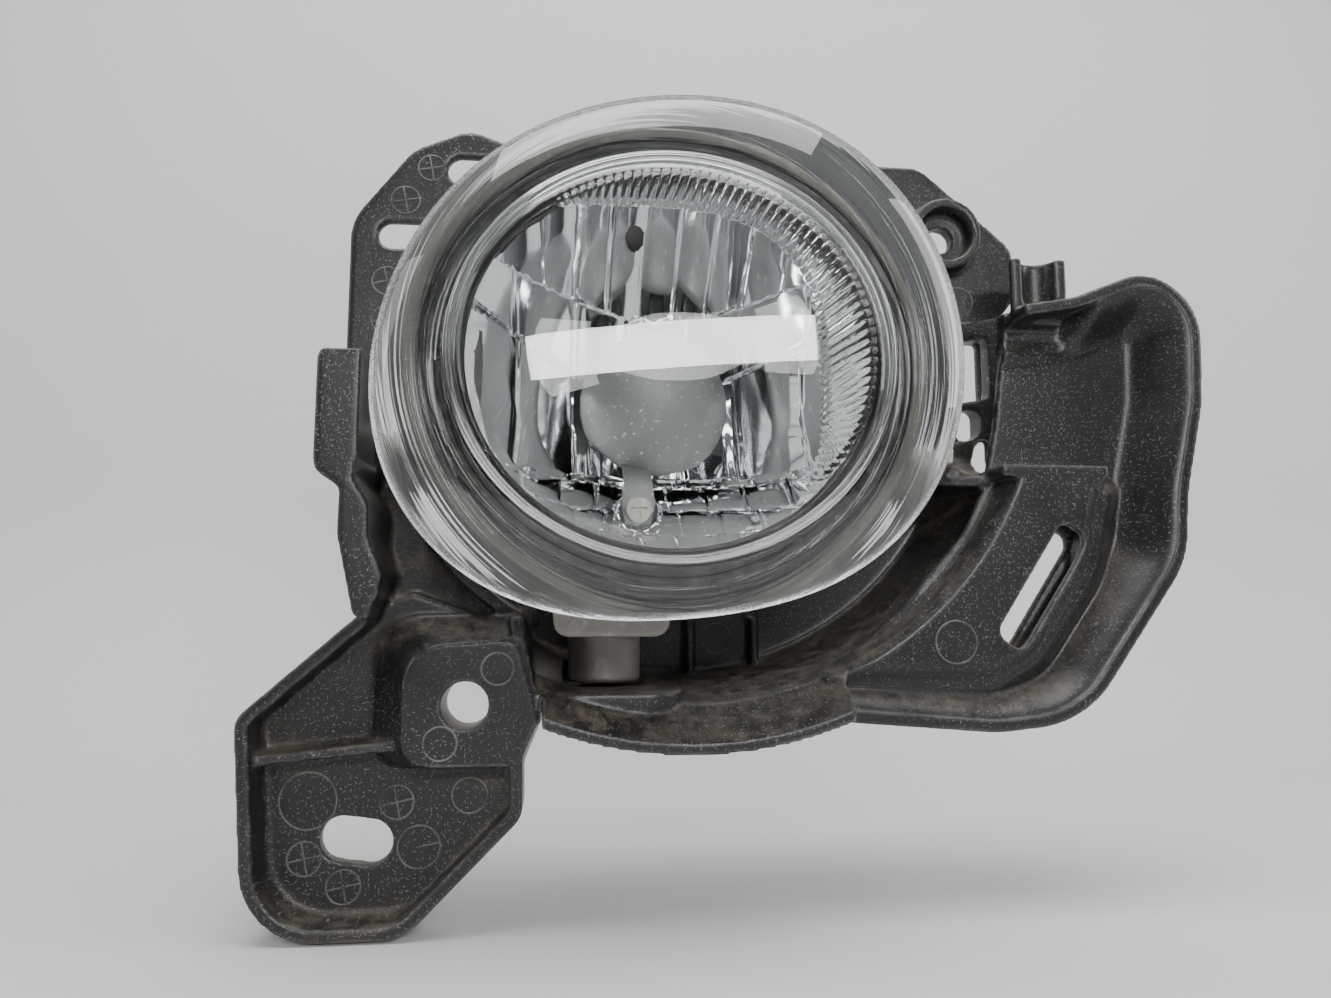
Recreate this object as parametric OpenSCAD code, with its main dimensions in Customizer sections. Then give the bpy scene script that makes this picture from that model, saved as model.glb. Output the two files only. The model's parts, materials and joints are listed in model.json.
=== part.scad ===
/*
  Front fog lamp on its moulded carrier bracket.
  Axes: +X to the right and +Z up as seen from in front of the lamp, +Y backwards
  into the vehicle. The origin is the centre of the round datum mounting hole, in
  the plane of the datum pad's front face.
*/

/* [Lamp] */
// Sideways place of the lamp axis
lamp_x = 40; // [38:0.5:42]
// Height of the lamp axis above the datum hole
lamp_z = 67.5; // [66:0.5:69]
// Depth of the widest line of the lens
rim_y = -20; // [-21:0.5:-19]
// Mean radius of the lens outline
lens_r = 54.8; // [53:0.1:55]
// How far the lens dome stands in front of its rim
dome_h = 8; // [6:0.5:9]
// Half width of the oval leg behind the lens
leg_rx = 46.5; // [45:0.5:47]
// Half height of the oval leg behind the lens
leg_rz = 43; // [42:0.5:43.5]
// Wall of the die-cast housing
cast_t = 2.6; // [2:0.1:2.8]

/* [Reflector and bulb] */
// Radius of the reflector's mouth
bowl_r = 37; // [36:0.1:37.2]
// Depth of the reflector, mouth to vertex
bowl_depth = 36; // [34:0.5:36]
// Radius of the bulb glare shield
shield_r = 16; // [14:0.5:16.5]
// Radius of the bulb seat bore
seat_r = 10.2; // [10.1:0.05:10.3]

/* [Aiming] */
// Depth of the tilt axis
pivot_y = 20; // [19:0.5:21]
// Height of the tilt axis
pivot_z = 55.5; // [54:0.5:57]
// Sideways place of the adjuster screw
adj_x = 28.6; // [28:0.2:29]
// Height of the adjuster screw
adj_z = 10.6; // [10.4:0.2:11]
// Radius of the adjuster screw's thread
adj_r = 3; // [2.8:0.1:3.1]

/* [Bracket] */
// Wall of the moulding
wall = 2.6; // [2.2:0.1:3]
// Radius of the datum hole
datum_r = 4.7; // [4.5:0.1:5]
// Depth of the leg's dished floor behind the datum face
leg_floor_y = 10; // [9:0.5:11]
// Depth of the upper back plate
plate_y = 23; // [22:0.5:24]
// Depth of the lower back wall
back_y = 38; // [37:0.5:39]
// Depth of the wing's floor
wing_floor_y = 12; // [11:0.5:13]
// Depth of the wing's front rim
wing_rim_y = 2; // [1:0.5:3]
// Depth of the wing's raised panel
panel_y = 4; // [3.5:0.5:5]

/* [Hidden] */
$fn = 64;

eps = 0.02;           // overlap that makes joined solids one
sides = 60;           // sides of the lofted ovals
lens_centre = [lamp_x, lamp_z];
vertex_y = rim_y + 13 + bowl_depth;   // vertex of the reflector's bowl
hole_s = 0.3;         // share of the bowl's width taken by the bulb hole
lug_r = 8;            // radius of the housing's adjuster lug
lug_foot_z = 3.2;     // foot of that lug

// ---------- outline helpers, all in the X-Z plane ----------
function unit(v) = v / norm(v);
function left_of(v) = [-v[1], v[0]];
function xz(c) = [c[0], c[1]];
function near_angle(a, b) = b - a > 180 ? b - 360 : (b - a < -180 ? b + 360 : b);

// Points of one rounded corner at p between the points a and b
function corner(a, p, b, r, n) =
    let(u = unit(a - p), v = unit(b - p), h = acos(u * v) / 2, c = p + unit(u + v) * r / sin(h),
        s = p + u * r / tan(h) - c, e = p + v * r / tan(h) - c,
        a0 = atan2(s[1], s[0]), a1 = near_angle(a0, atan2(e[1], e[0])))
    [for (i = [0:n]) let(t = a0 + (a1 - a0) * i / n) c + r * [cos(t), sin(t)]];

// A closed outline of corners [x, z, radius]
function rounded(q, n = 8) =
    [for (i = [0:len(q) - 1])
        let(p = q[i], a = q[(i + len(q) - 1) % len(q)], b = q[(i + 1) % len(q)])
        each (p[2] > 0 ? corner(xz(a), xz(p), xz(b), p[2], n) : [xz(p)])];

// An open path of corners [x, z, radius]
function rounded_path(q, n = 8) =
    [for (i = [0:len(q) - 1])
        each (i == 0 || i == len(q) - 1 || q[i][2] == 0 ? [xz(q[i])]
            : corner(xz(q[i - 1]), xz(q[i]), xz(q[i + 1]), q[i][2], n))];

// The path moved to its left by d, each radius following the turn
function moved_path(q, d) =
    [for (i = [0:len(q) - 1])
        let(p = xz(q[i]),
            u = i > 0 ? unit(p - xz(q[i - 1])) : unit(xz(q[i + 1]) - p),
            v = i < len(q) - 1 ? unit(xz(q[i + 1]) - p) : u,
            m = (left_of(u) + left_of(v)) / (1 + u * v),
            turn = u[0] * v[1] - u[1] * v[0],
            e = p + m * d)
        [e[0], e[1], q[i][2] == 0 ? 0 : max(0.5, q[i][2] - sign(turn) * d)]];

function reversed(q) = [for (i = [len(q) - 1:-1:0]) q[i]];
function ribbon(q, t) = concat(rounded_path(q), reversed(rounded_path(moved_path(q, t))));

// Extrudes an X-Z outline from depth y0 to depth y1
module slab(y0, y1) {
    translate([0, y1, 0]) rotate([90, 0, 0]) linear_extrude(y1 - y0) children();
}

// A round bar along +Y
module bar_y(x, z, r, y0, y1) {
    translate([x, y1, z]) rotate([90, 0, 0]) cylinder(r = r, h = y1 - y0);
}

// A round bar along +X
module bar_x(y, z, r, x0, x1) {
    translate([x0, y, z]) rotate([0, 90, 0]) cylinder(r = r, h = x1 - x0);
}

// A slot of the given length and width, turned by a degrees
module slot(x, z, len, wid, a, y0, y1) {
    reach = (len - wid) / 2;
    slab(y0, y1) translate([x, z]) rotate(a) {
        square([2 * reach, wid], center = true);
        for (s = [-1, 1]) translate([s * reach, 0]) circle(r = wid / 2);
    }
}

// ---------- lofted ovals ----------
// Lens outline at angle a: a mean radius and a few slow waves round it
function rim_radius(a) = lens_r + 0.5 * cos(a) + 2.8 * cos(2 * a) + 1.8 * sin(2 * a)
    - sin(3 * a) - 0.6 * cos(4 * a);
function oval_radius(a, rx, rz) = rx * rz / norm([rz * cos(a), rx * sin(a)]);

// A ring [half width, half height, depth, share of the free rim outline, scale]
function ring_points(q) =
    [for (i = [0:sides - 1])
        let(a = 360 * i / sides, r = (oval_radius(a, q[0], q[1]) * (1 - q[3]) + rim_radius(a) * q[3]) * q[4])
        [lamp_x + r * cos(a), q[2], lamp_z + r * sin(a)]];
function band(i, j) =
    [for (k = [0:sides - 1]) let(m = (k + 1) % sides) each
        [[i * sides + k, i * sides + m, j * sides + m], [i * sides + k, j * sides + m, j * sides + k]]];

// A wall whose section is a closed loop of rings
module loop_shell(rings) {
    n = len(rings);
    polyhedron([for (q = rings) each ring_points(q)], [for (i = [0:n - 1]) each band(i, (i + 1) % n)]);
}

// A solid whose section runs from the front axis to the back axis
module capped_shell(rings) {
    n = len(rings);
    polyhedron([for (q = rings) each ring_points(q)],
        concat([for (i = [0:n - 2]) each band(i, i + 1)],
            [[for (k = [sides - 1:-1:0]) k]], [[for (k = [0:sides - 1]) (n - 1) * sides + k]]));
}

// Section of the bowl, a parabola grown by g across and by k backwards
bowl_steps = [1, 0.93, 0.85, 0.76, 0.66, 0.55, 0.44, hole_s];
function bowl_line(g, k) = [for (s = bowl_steps) [bowl_r * s + g, vertex_y - bowl_depth * s * s + k]];
function oval(rx, rz) = [for (i = [0:119]) lens_centre + [rx * cos(3 * i), rz * sin(3 * i)]];

// Turns an outline of [radius, depth] points round the lamp's axis
module turned(q) {
    translate([lamp_x, 0, lamp_z]) rotate([-90, 0, 0]) rotate_extrude($fn = 120) polygon(q);
}

// ---------- bracket ----------
leg_path = [[-21.3, 18, 0], [-44.3, -2.3, 4.5], [-41, -44.8, 15], [-11, -44.8, 11], [11.8, -22, 5],
    [11.6, -6, 0]];
leg_floor = concat([[-19.4, 20.4, 0]], [for (i = [1:5]) leg_path[i]]);
pad_face = [[-12, -12, 5], [10.8, -12, 2], [14.6, -3.4, 1], [9.8, 13, 3], [-12, 11.5, 8]];
pad_foot = [[-19.5, -13, 5], [11.4, -13, 2], [15.4, -3.4, 1], [11, 18, 3], [-19.5, 17.5, 9]];
pad_hollow_front = [[-10.6, -10, 4], [9, -10, 2], [11.8, -3.4, 1], [7.6, 10.4, 3], [-10.6, 9.4, 6]];
pad_hollow_back = [[-16.6, -10.4, 4], [8.8, -10.4, 2], [12.4, -3.4, 1], [8.4, 14.6, 3], [-16.6, 14.6, 7]];
cheek_face = [[-30, 71, 1.5], [-30, 46.5, 3], [-24.8, 43, 2], [-25, 34, 8], [-21.3, 17.4, 0.5],
    [-16.8, 21.3, 2], [-16, 26, 4], [-18.8, 33, 6], [-19.1, 40, 4], [-22.3, 45, 2], [-21.5, 49, 2],
    [-21.5, 71, 1.5]];
cheek_path = [[-18.5, 17, 0], [-16, 26, 4], [-18.8, 33, 6], [-19.1, 40, 4], [-22.3, 45, 2],
    [-21.5, 49, 2], [-21.5, 71, 0]];
plate_edge = [[-30.7, 40, 3], [-30.7, 109, 12], [-17, 127, 12], [-4, 132.6, 8], [12, 127, 20],
    [94, 128.8, 8], [106.5, 128.8, 8], [129.5, 109, 6], [132, 98, 4], [124, 88, 2], [117, 49, 1],
    [98, 49, 0], [40, 60, 0], [-10, 40, 0]];
wing_edge = [[122, 87.5, 0], [134, 89.6, 12], [152.5, 97, 12], [164.5, 88, 14], [163.6, 66, 40],
    [158.8, 45, 40], [157.6, 30, 22], [132, -5.2, 24], [112, -7.2, 30], [79, -4.6, 0]];
panel_outer = [[75, 2.6, 0], [113, 2.6, 9], [123, 8, 12], [136.5, 27, 14], [141, 47, 0]];
panel_area = [[75.5, 2.6, 0], [113, 2.6, 9], [123, 8, 12], [136.5, 27, 14], [141, 48.5, 2], [118, 49, 0],
    [100, 40, 0], [62, 12, 0]];
bowl_centre = [46, 78];       // axis of the trough's curved wall
leg_rim_y = 0.4;              // front edge of the leg's rim, just behind the datum pad
lip_y = -5;
lip_r = 88;
throat_y = 6;
throat_r = 81.5;
back_r = 76;
ring_boss = [110.5, 109.5];   // centre of the right tab's screw boss
wing_slot = [124.6, 24.2];
wing_slot_turn = 56.7;
lamp_hole_r = 53;

// The curved wall under and beside the lamp, as a solid of revolution between two depths
module trough_wall(r_add) {
    translate([bowl_centre[0], 0, bowl_centre[1]]) rotate([-90, 0, 0]) rotate_extrude($fn = 180)
        polygon([[lip_r + r_add - wall, lip_y], [lip_r + r_add, lip_y], [throat_r + r_add, throat_y],
            [back_r + r_add, back_y + wall], [back_r + r_add - wall, back_y + wall],
            [throat_r + r_add - wall, throat_y]]);
}

// Datum pad: a hollow block with sloped sides and a tube round its hole
module datum_pad() {
    difference() {
        hull() {
            slab(0, 1) polygon(rounded(pad_face, 4));
            slab(leg_floor_y, leg_floor_y + wall) polygon(rounded(pad_foot, 4));
        }
        hull() {
            slab(wall, wall + 1) polygon(rounded(pad_hollow_front, 4));
            slab(leg_floor_y, leg_floor_y + wall + 1) polygon(rounded(pad_hollow_back, 4));
        }
    }
    bar_y(0, 0, datum_r + 3.6, 0.5, leg_floor_y + wall);
}

// The leg: dished floor, rim, cross rib and the panel that slopes up behind the lamp
module leg() {
    slab(leg_floor_y, leg_floor_y + wall) difference() {
        polygon(concat(rounded_path(moved_path(leg_floor, 0.6)), [[11, 14.6], [-12, 22.5]]));
        polygon(rounded(pad_hollow_back, 4));
    }
    slab(leg_rim_y, leg_floor_y + wall) polygon(ribbon(leg_path, wall));
    slab(leg_floor_y - 7.5, leg_floor_y + eps) polygon([[-43, -11.9], [-12, -8.9], [-12, -6.9], [-43, -9.9]]);
    difference() {
        translate([-22.5, 0, 0]) rotate([90, 0, 90]) linear_extrude(52)
            polygon([[leg_floor_y, 14], [leg_floor_y + wall, 14], [plate_y + wall, 46],
                [plate_y + wall, 49.6], [plate_y, 49.6], [plate_y, 46.6]]);
        bar_y(lamp_x, lamp_z, lamp_hole_r + 4.5, 0, 60);
        translate([13, 0, 0]) cube([30, 60, 40]);
        slab(0, 60) polygon([[-30, 5], [-22.2, 5], [-22.2, 14.2], [-18.4, 19.6], [-17.4, 27], [-20, 33],
            [-22, 45], [-30, 45]]);
    }
    bar_y(-22, -27.7, 9.6, leg_floor_y, leg_floor_y + wall + 1.2);
}

// The left cheek: a front flange and a web that carries the left pivot
module cheek() {
    slab(lip_y, lip_y + 2.8) polygon(rounded(cheek_face, 4));
    slab(lip_y, plate_y + wall) difference() {
        polygon(ribbon(cheek_path, wall));
        polygon([[-26, 0], [-10, 0], [-10, 15], [-26, 17]]);
    }
    bar_x(pivot_y, pivot_z, 7, -24.1, -20.6);
    slab(pivot_y - 7, plate_y + eps) translate([-24.1, pivot_z - 7]) square([wall, 14]);
}

// Outline that is left free for the pivot bosses, bush flanges and screw heads
module pivot_room() {
    translate([-36, pivot_z - 5.7]) square([56, 11.4]);
    translate([60, pivot_z - 5.7]) square([52, 11.4]);
}

// The back plate round the top of the lamp, with both upper tabs
module upper_plate() {
    slab(plate_y, plate_y + wall) difference() {
        polygon(rounded(plate_edge));
        translate(lens_centre) circle(r = lamp_hole_r, $fn = 120);
        pivot_room();
    }
    slab(plate_y - 2, plate_y + wall + 4) difference() {
        translate(lens_centre) circle(r = lamp_hole_r + 2.4, $fn = 120);
        translate(lens_centre) circle(r = lamp_hole_r, $fn = 120);
        translate([-50, -60]) square([220, 121.7]);
    }
    bar_y(ring_boss[0], ring_boss[1], 8.8, plate_y - 6.5, plate_y + wall);
}

// The trough, its back wall and the ledge above it on the right
module trough() {
    difference() {
        trough_wall(0);
        slab(-20, 60) polygon([[-80, -40], [12.2, -40], [12.2, 170], [-80, 170]]);
        slab(-20, 0.6) translate([12, -20]) square([3.4, 40]);
        slab(-20, 60) translate([0, 48.8]) square([200, 200]);
        slab(-20, panel_y) translate([79, -60]) square([200, 200]);
    }
    slab(back_y, back_y + wall) difference() {
        intersection() {
            translate(bowl_centre) circle(r = back_r + 0.3, $fn = 180);
            translate([11.2, -20]) square([122.2, 71.2]);
        }
        translate(lens_centre) circle(r = lamp_hole_r - 3, $fn = 120);
    }
    // side wall between the datum pad and the trough
    slab(0.6, back_y + wall) polygon([[12.8, -3.6], [15.4, -3.6], [11, 17.5], [8.4, 17.5]]);
    slab(leg_floor_y + 1, back_y + wall) polygon([[10.8, 15.5], [13.4, 15.5], [13.2, 22.6], [10.6, 22.6]]);
    slab(leg_floor_y, back_y + wall) difference() {
        translate(lens_centre) circle(r = lamp_hole_r + 7, $fn = 120);
        translate(lens_centre) circle(r = lamp_hole_r + 4.4, $fn = 120);
        translate([10.9, -60]) square([200, 300]);
        translate([-60, 36]) square([220, 200]);
    }
    slab(back_y, back_y + wall) difference() {
        translate(lens_centre) circle(r = lamp_hole_r + 7, $fn = 120);
        translate(lens_centre) circle(r = lamp_hole_r - 3, $fn = 120);
        translate([13.5, -60]) square([200, 300]);
        translate([-60, 36]) square([220, 200]);
    }
    slab(wing_floor_y, back_y + wall) translate([97, 47.1]) square([26.2, wall]);
    // front shelf under the housing's lug
    difference() {
        slab(2, back_y + eps) polygon([[13, -1.4], [45, -1.4], [45, 2], [13, 2]]);
        translate([37, 0, -5]) difference() {
            cube([10, 10, 10]);
            translate([0, 10, 0]) cylinder(r = 8, h = 10);
        }
    }
    // web behind the pocket that the lug swings in
    slab(back_y - 5, back_y - 2.4) translate([15, 0]) square([16, 9]);
    // two ridges that stiffen the back wall
    for (x = [49, 64.6]) slab(back_y - 6, back_y + eps) translate([x, 3]) square([1.8, 14]);
    // stiffening web that carries the adjuster
    bar_y(adj_x, adj_z, 8, back_y - 2, back_y + wall + 2);
}

// The wing: floor, rolled rim, raised panel and the ear of the right pivot
module wing() {
    slab(wing_floor_y, wing_floor_y + wall) polygon(concat(rounded_path(moved_path(reversed(wing_edge), 0.5)),
        [[117, 50], [110, 36], [96, 20], [80, 6]]));
    slab(wing_rim_y, wing_floor_y + wall) polygon(ribbon(reversed(wing_edge), wall));
    slab(panel_y, panel_y + wall) difference() {
        polygon(rounded(panel_area));
        translate(bowl_centre) circle(r = throat_r - 1, $fn = 180);
    }
    slab(panel_y, wing_floor_y + eps) polygon(ribbon(panel_outer, wall));
    slab(panel_y, wing_floor_y + eps) polygon([[116, 48.6], [141, 48.6], [141, 51.2], [116, 51.2]]);
    // sloped wall from the wing's floor back to the upper plate
    slab_slope();
    // ear of the right pivot
    translate([103, 0, 0]) rotate([90, 0, 90]) linear_extrude(3)
        polygon(rounded([[11, 47, 3], [40, 47, 0], [40, 51, 0], [26, 64, 6], [11, 64, 7]]));
    bar_x(pivot_y, pivot_z, 7, 102, 106);
    hook();
}

// Sloped wall beside the lamp, between the wing floor and the upper plate
module slab_slope() {
    intersection() {
        translate([0, 0, 49]) linear_extrude(39.5)
            polygon([[127, wing_floor_y], [127, wing_floor_y + wall], [116, plate_y + wall],
                [108, plate_y + wall], [108, plate_y], [114, plate_y], [124.5, wing_floor_y]]);
        slab(0, 60) polygon([[105, 61.4], [110.6, 61.4], [110.6, 49], [119, 49], [127, 88.5], [105, 88.5]]);
    }
    slab(wing_floor_y, wing_floor_y + wall) polygon([[116, 49], [150, 49], [150, 80], [124, 87]]);
}

// Forward-facing half tube at the wing's upper corner
module hook() {
    difference() {
        translate([128, wing_floor_y - 5.5, 86]) cylinder(r = 6.6, h = 14);
        translate([128, wing_floor_y - 5.5, 89]) cylinder(r = 4, h = 20);
        translate([120, wing_floor_y - 5.5 - 8, 80]) cube([16, 8, 30]);
    }
    slab(wing_floor_y, plate_y + wall) translate([121.6, 86]) square([12, wall]);
    slab(wing_floor_y - 4, wing_floor_y + wall) translate([122, 84.6]) square([12, wall]);
}

module bracket() {
    color([0.17, 0.17, 0.18]) difference() {
        union() {
            leg();
            datum_pad();
            cheek();
            upper_plate();
            trough();
            wing();
        }
        // datum hole
        bar_y(0, 0, datum_r, -1, 30);
        // slot in the leg
        slot(-22, -27.7, 14.6, 9, -8, 5, 20);
        // two slots in the left tab
        slot(-17.5, 105.8, 14, 6.4, 0, 15, 30);
        slot(-2.5, 122.3, 13, 6.6, 0, 15, 30);
        // screw boss in the right tab
        bar_y(ring_boss[0], ring_boss[1], 6.6, plate_y - 10, plate_y - 1.5);
        bar_y(ring_boss[0], ring_boss[1], 3.3, plate_y - 10, plate_y + 10);
        // window and slot beside the lamp
        slab(5, 35) translate([113.5, 69]) square([6.4, 15]);
        slot(116, 63.2, 7.6, 4.4, 90, 5, 35);
        // slanted slot in the wing
        slab(0, 20) translate(wing_slot) rotate(wing_slot_turn)
            polygon(rounded([[-15, -3.7, 2.6], [15, -3.7, 2.6], [15, 3.7, 2.6], [-15, 3.7, 2.6]]));
        // pivot bush seats
        bar_x(pivot_y, pivot_z, 4, -40, -10);
        bar_x(pivot_y, pivot_z, 4, 95, 120);
        // adjuster bore, with room for its clip and for the swing of the lug
        bar_y(adj_x, adj_z, adj_r + 0.3, 30, 50);
        bar_y(adj_x, adj_z, 5.6, back_y - 6, back_y - 2);
        translate([adj_x - lug_r - 1, pivot_y - lug_r - 4, lug_foot_z - 1])
            cube([2 * lug_r + 2, 2 * lug_r + 8, 11]);
    }
}

// Nylon flanged bushes pressed into the two pivot seats
module pivot_bushes() {
    color([0.86, 0.84, 0.78]) for (side = [[-24.1, -19.6, -20.6], [106, 101, 102]]) {
        x0 = min(side[0], side[1]);
        x1 = max(side[0], side[1]);
        f0 = min(side[1], side[2]);
        difference() {
            union() {
                bar_x(pivot_y, pivot_z, 4, x0, x1);
                bar_x(pivot_y, pivot_z, 5.4, f0, f0 + 1);
            }
            bar_x(pivot_y, pivot_z, 2.55, x0 - 1, x1 + 1);
        }
    }
}

// ---------- aiming ----------
head_y = back_y + wall + 2 + 1.2;   // seat of the adjuster's head, behind its washer

module adjuster_screw() {
    color([0.78, 0.76, 0.62]) {
        bar_y(adj_x, adj_z, adj_r, pivot_y - 1.2, head_y + eps);
        difference() {
            union() {
                bar_y(adj_x, adj_z, 6, head_y, head_y + 1.6);
                translate([adj_x, head_y + 7, adj_z]) rotate([90, 0, 0]) cylinder(r = 5.2, h = 6, $fn = 6);
            }
            slab(head_y + 4, head_y + 8) translate([adj_x, adj_z]) square([1.2, 6], center = true);
            slab(head_y + 4, head_y + 8) translate([adj_x, adj_z]) square([6, 1.2], center = true);
        }
    }
}

module adjuster_washer() {
    color([0.7, 0.7, 0.72]) difference() {
        bar_y(adj_x, adj_z, 6.4, head_y - 1.2, head_y - 0.2);
        bar_y(adj_x, adj_z, adj_r + 0.3, head_y - 2, head_y + 1);
    }
}

// Push-on retainer in front of the bracket's wall
module adjuster_clip() {
    color([0.55, 0.56, 0.58]) difference() {
        bar_y(adj_x, adj_z, 5, back_y - 3.1, back_y - 2.3);
        bar_y(adj_x, adj_z, adj_r, back_y - 5, back_y);
        for (a = [0:60:300]) slab(back_y - 5, back_y) translate([adj_x, adj_z]) rotate(a)
            translate([adj_r - 0.2, -0.4]) square([1.2, 0.8]);
    }
}

// Ball-shaped nut that turns in the housing's lug
module adjuster_nut() {
    color([0.93, 0.92, 0.88]) translate([adj_x, pivot_y, adj_z]) rotate([90, 0, 0]) rotate_extrude()
        intersection() {
            circle(r = 5.5);
            translate([adj_r + 0.4, -4.2]) square([4, 8.4]);
        }
}

// ---------- lamp ----------
neck_r = 17;
seat_front_y = back_y + 0.5;
seat_back_y = back_y + 6;
flange_front_y = rim_y + 10.5;
groove_y = rim_y + 17.5;
screw_pad = [34.9, 39.8];     // foot of the shield on the reflector
pad_y = 5;                    // front face of that foot's pad
vent_hole = [34, 98.8];
reflector_bosses = [for (a = [35, 145]) [lamp_x + 27 * cos(a), lamp_z + 25 * sin(a)]];
boss_back_y = 26;             // seat of the reflector's screws
breather = [lamp_x - 5, lamp_z + 27];
breather_y = 27.5;            // end of the breather's spigot

// Die-cast housing: bowl, lens groove, bulb neck, pivot bosses and adjuster lug
module housing() {
    color([0.62, 0.61, 0.58]) difference() {
        union() {
            turned(concat(bowl_line(1.9 + cast_t, 4.6), reversed(bowl_line(1.9, 2))));
            slab(groove_y, groove_y + cast_t) difference() {
                polygon(oval(leg_rx + 3.4, leg_rz + 3.4));
                translate(lens_centre) circle(r = bowl_r + 2);
            }
            slab(flange_front_y, groove_y + eps) difference() {
                polygon(oval(leg_rx + 3.4, leg_rz + 3.4));
                polygon(oval(leg_rx + 0.6, leg_rz + 0.6));
            }
            slab(flange_front_y + 3, groove_y + eps) difference() {
                polygon(oval(leg_rx - 3.2, leg_rz - 3.2));
                polygon(oval(leg_rx - 4, leg_rz - 4));
            }
            difference() {
                bar_y(lamp_x, lamp_z, neck_r, vertex_y - 1, seat_back_y);
                bar_y(lamp_x, lamp_z, neck_r - cast_t - 0.4, vertex_y - 3, seat_front_y);
            }
            // pivot bosses
            bar_x(pivot_y, pivot_z, 5.2, -19.3, 16);
            bar_x(pivot_y, pivot_z, 5.2, 64, 100.7);
            // flange and lug for the adjuster
            slab(-6, 14) polygon(rounded([[17.6, 13.6, 3], [40.4, 13.6, 3], [41, 22, 1], [54, 27, 0],
                [54, 34, 0], [26, 34, 0], [12, 37, 0], [17, 22, 1]]));
            translate([adj_x, pivot_y, lug_foot_z]) cylinder(r = lug_r, h = 24);
            slab(8, 26) polygon([[adj_x - 5, 14], [adj_x + 5, 14], [adj_x + 9, 40], [adj_x - 5, 40]]);
            // bumps over the reflector's screws and over the foot of the shield
            for (c = reflector_bosses) bar_y(c[0], c[1], 5, 12, boss_back_y);
            bar_y(screw_pad[0], screw_pad[1], 7.4, 0, pad_y + 9.6);
            // spigot of the breather
            bar_y(breather[0], breather[1], 3.4, 12, breather_y);
        }
        // inside of the bowl, cut from what reaches into it
        turned(concat([[0, groove_y - 4], [bowl_r + 1.9, groove_y - 4]], bowl_line(1.9, 2),
            [[0, vertex_y + 1]]));
        // groove of the lens leg, kept clear of the lug's flange and of the bowl's mouth
        slab(flange_front_y - 6, groove_y) difference() {
            polygon(oval(leg_rx + 0.6, leg_rz + 0.6));
            polygon(oval(leg_rx - 3.2, leg_rz - 3.2));
        }
        // pockets and holes of the reflector's bosses
        for (c = reflector_bosses) {
            bar_y(c[0], c[1], 3.6, 0, 19.4);
            bar_y(c[0], c[1], 1.6, 10, 40);
        }
        bar_y(screw_pad[0], screw_pad[1], 6, -10, pad_y + 8);
        // adjuster nut's pocket
        bar_y(adj_x, adj_z, 5.6, pivot_y - 4.6, 60);
        // threads of the pivot screws
        bar_x(pivot_y, pivot_z, 2.1, -30, -9);
        bar_x(pivot_y, pivot_z, 2.1, 89.5, 110);
        // bulb seat with three bayonet notches
        bar_y(lamp_x, lamp_z, seat_r, 30, 60);
        for (a = [50, 170, 290]) slab(seat_front_y - 1, seat_back_y + 1) translate(lens_centre) rotate(a)
            translate([seat_r - 2, -2.6]) square([4.8, 5.2]);
        // breather passage
        bar_y(breather[0], breather[1], 2, 0, 60);
    }
}

module pivot_screws() {
    color([0.8, 0.78, 0.66]) for (side = [-1, 1]) {
        x_seat = side < 0 ? -24.4 : 106.3;
        x_tip = side < 0 ? -10 : 91;
        x_shoulder = side < 0 ? -19.35 : 100.75;
        x_head = x_seat + side * 3.2;
        x_collar = x_seat + eps * side;
        bar_x(pivot_y, pivot_z, 2.5, min(x_collar, x_shoulder), max(x_collar, x_shoulder));
        bar_x(pivot_y, pivot_z, 2, min(x_tip, x_shoulder), max(x_tip, x_shoulder));
        difference() {
            bar_x(pivot_y, pivot_z, 4.8, min(x_seat, x_head), max(x_seat, x_head));
            translate([x_head, pivot_y, pivot_z]) cube([3, 1, 5], center = true);
            translate([x_head, pivot_y, pivot_z]) cube([3, 5, 1], center = true);
        }
    }
}

module reflector() {
    color([0.86, 0.88, 0.9]) difference() {
        union() {
            turned(concat(bowl_line(1.5, 1.3), reversed(bowl_line(0, 0))));
            // bosses of the two screws, kept behind the mirror
            difference() {
                for (c = reflector_bosses) bar_y(c[0], c[1], 3, 8, 19);
                turned(concat([[0, rim_y], [bowl_r + 0.6, rim_y]], bowl_line(0.6, 0.6),
                    [[0, vertex_y + 0.6]]));
            }
            // pad of the shield's foot, with a well wall round its lower half
            bar_y(screw_pad[0], screw_pad[1], 5.4, pad_y, pad_y + 7.6);
            difference() {
                bar_y(screw_pad[0], screw_pad[1], 5.4, 0, pad_y + 1);
                slab(-1, pad_y) translate([0, screw_pad[1] - 1]) square([80, 20]);
            }
        }
        bar_y(screw_pad[0], screw_pad[1], 4.2, -10, pad_y);
        bar_y(screw_pad[0], screw_pad[1], 1.5, pad_y - 1, pad_y + 6.4);
        for (c = reflector_bosses) bar_y(c[0], c[1], 1.4, 15.2, 24);
        bar_y(vent_hole[0], vent_hole[1], 2, -20, 30);
    }
}

// Two screws that hold the reflector from behind
module reflector_screws() {
    color([0.75, 0.76, 0.78]) for (c = reflector_bosses) {
        bar_y(c[0], c[1], 1.4, 15.2, boss_back_y + eps);
        bar_y(c[0], c[1], 3.2, boss_back_y, boss_back_y + 2);
    }
}

front_steps = [[0.02, 0], [0.2, 0], [0.4, 0], [0.58, 0.05], [0.72, 0.2], [0.83, 0.45], [0.91, 0.75],
    [0.965, 0.95], [1, 1]];

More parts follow.
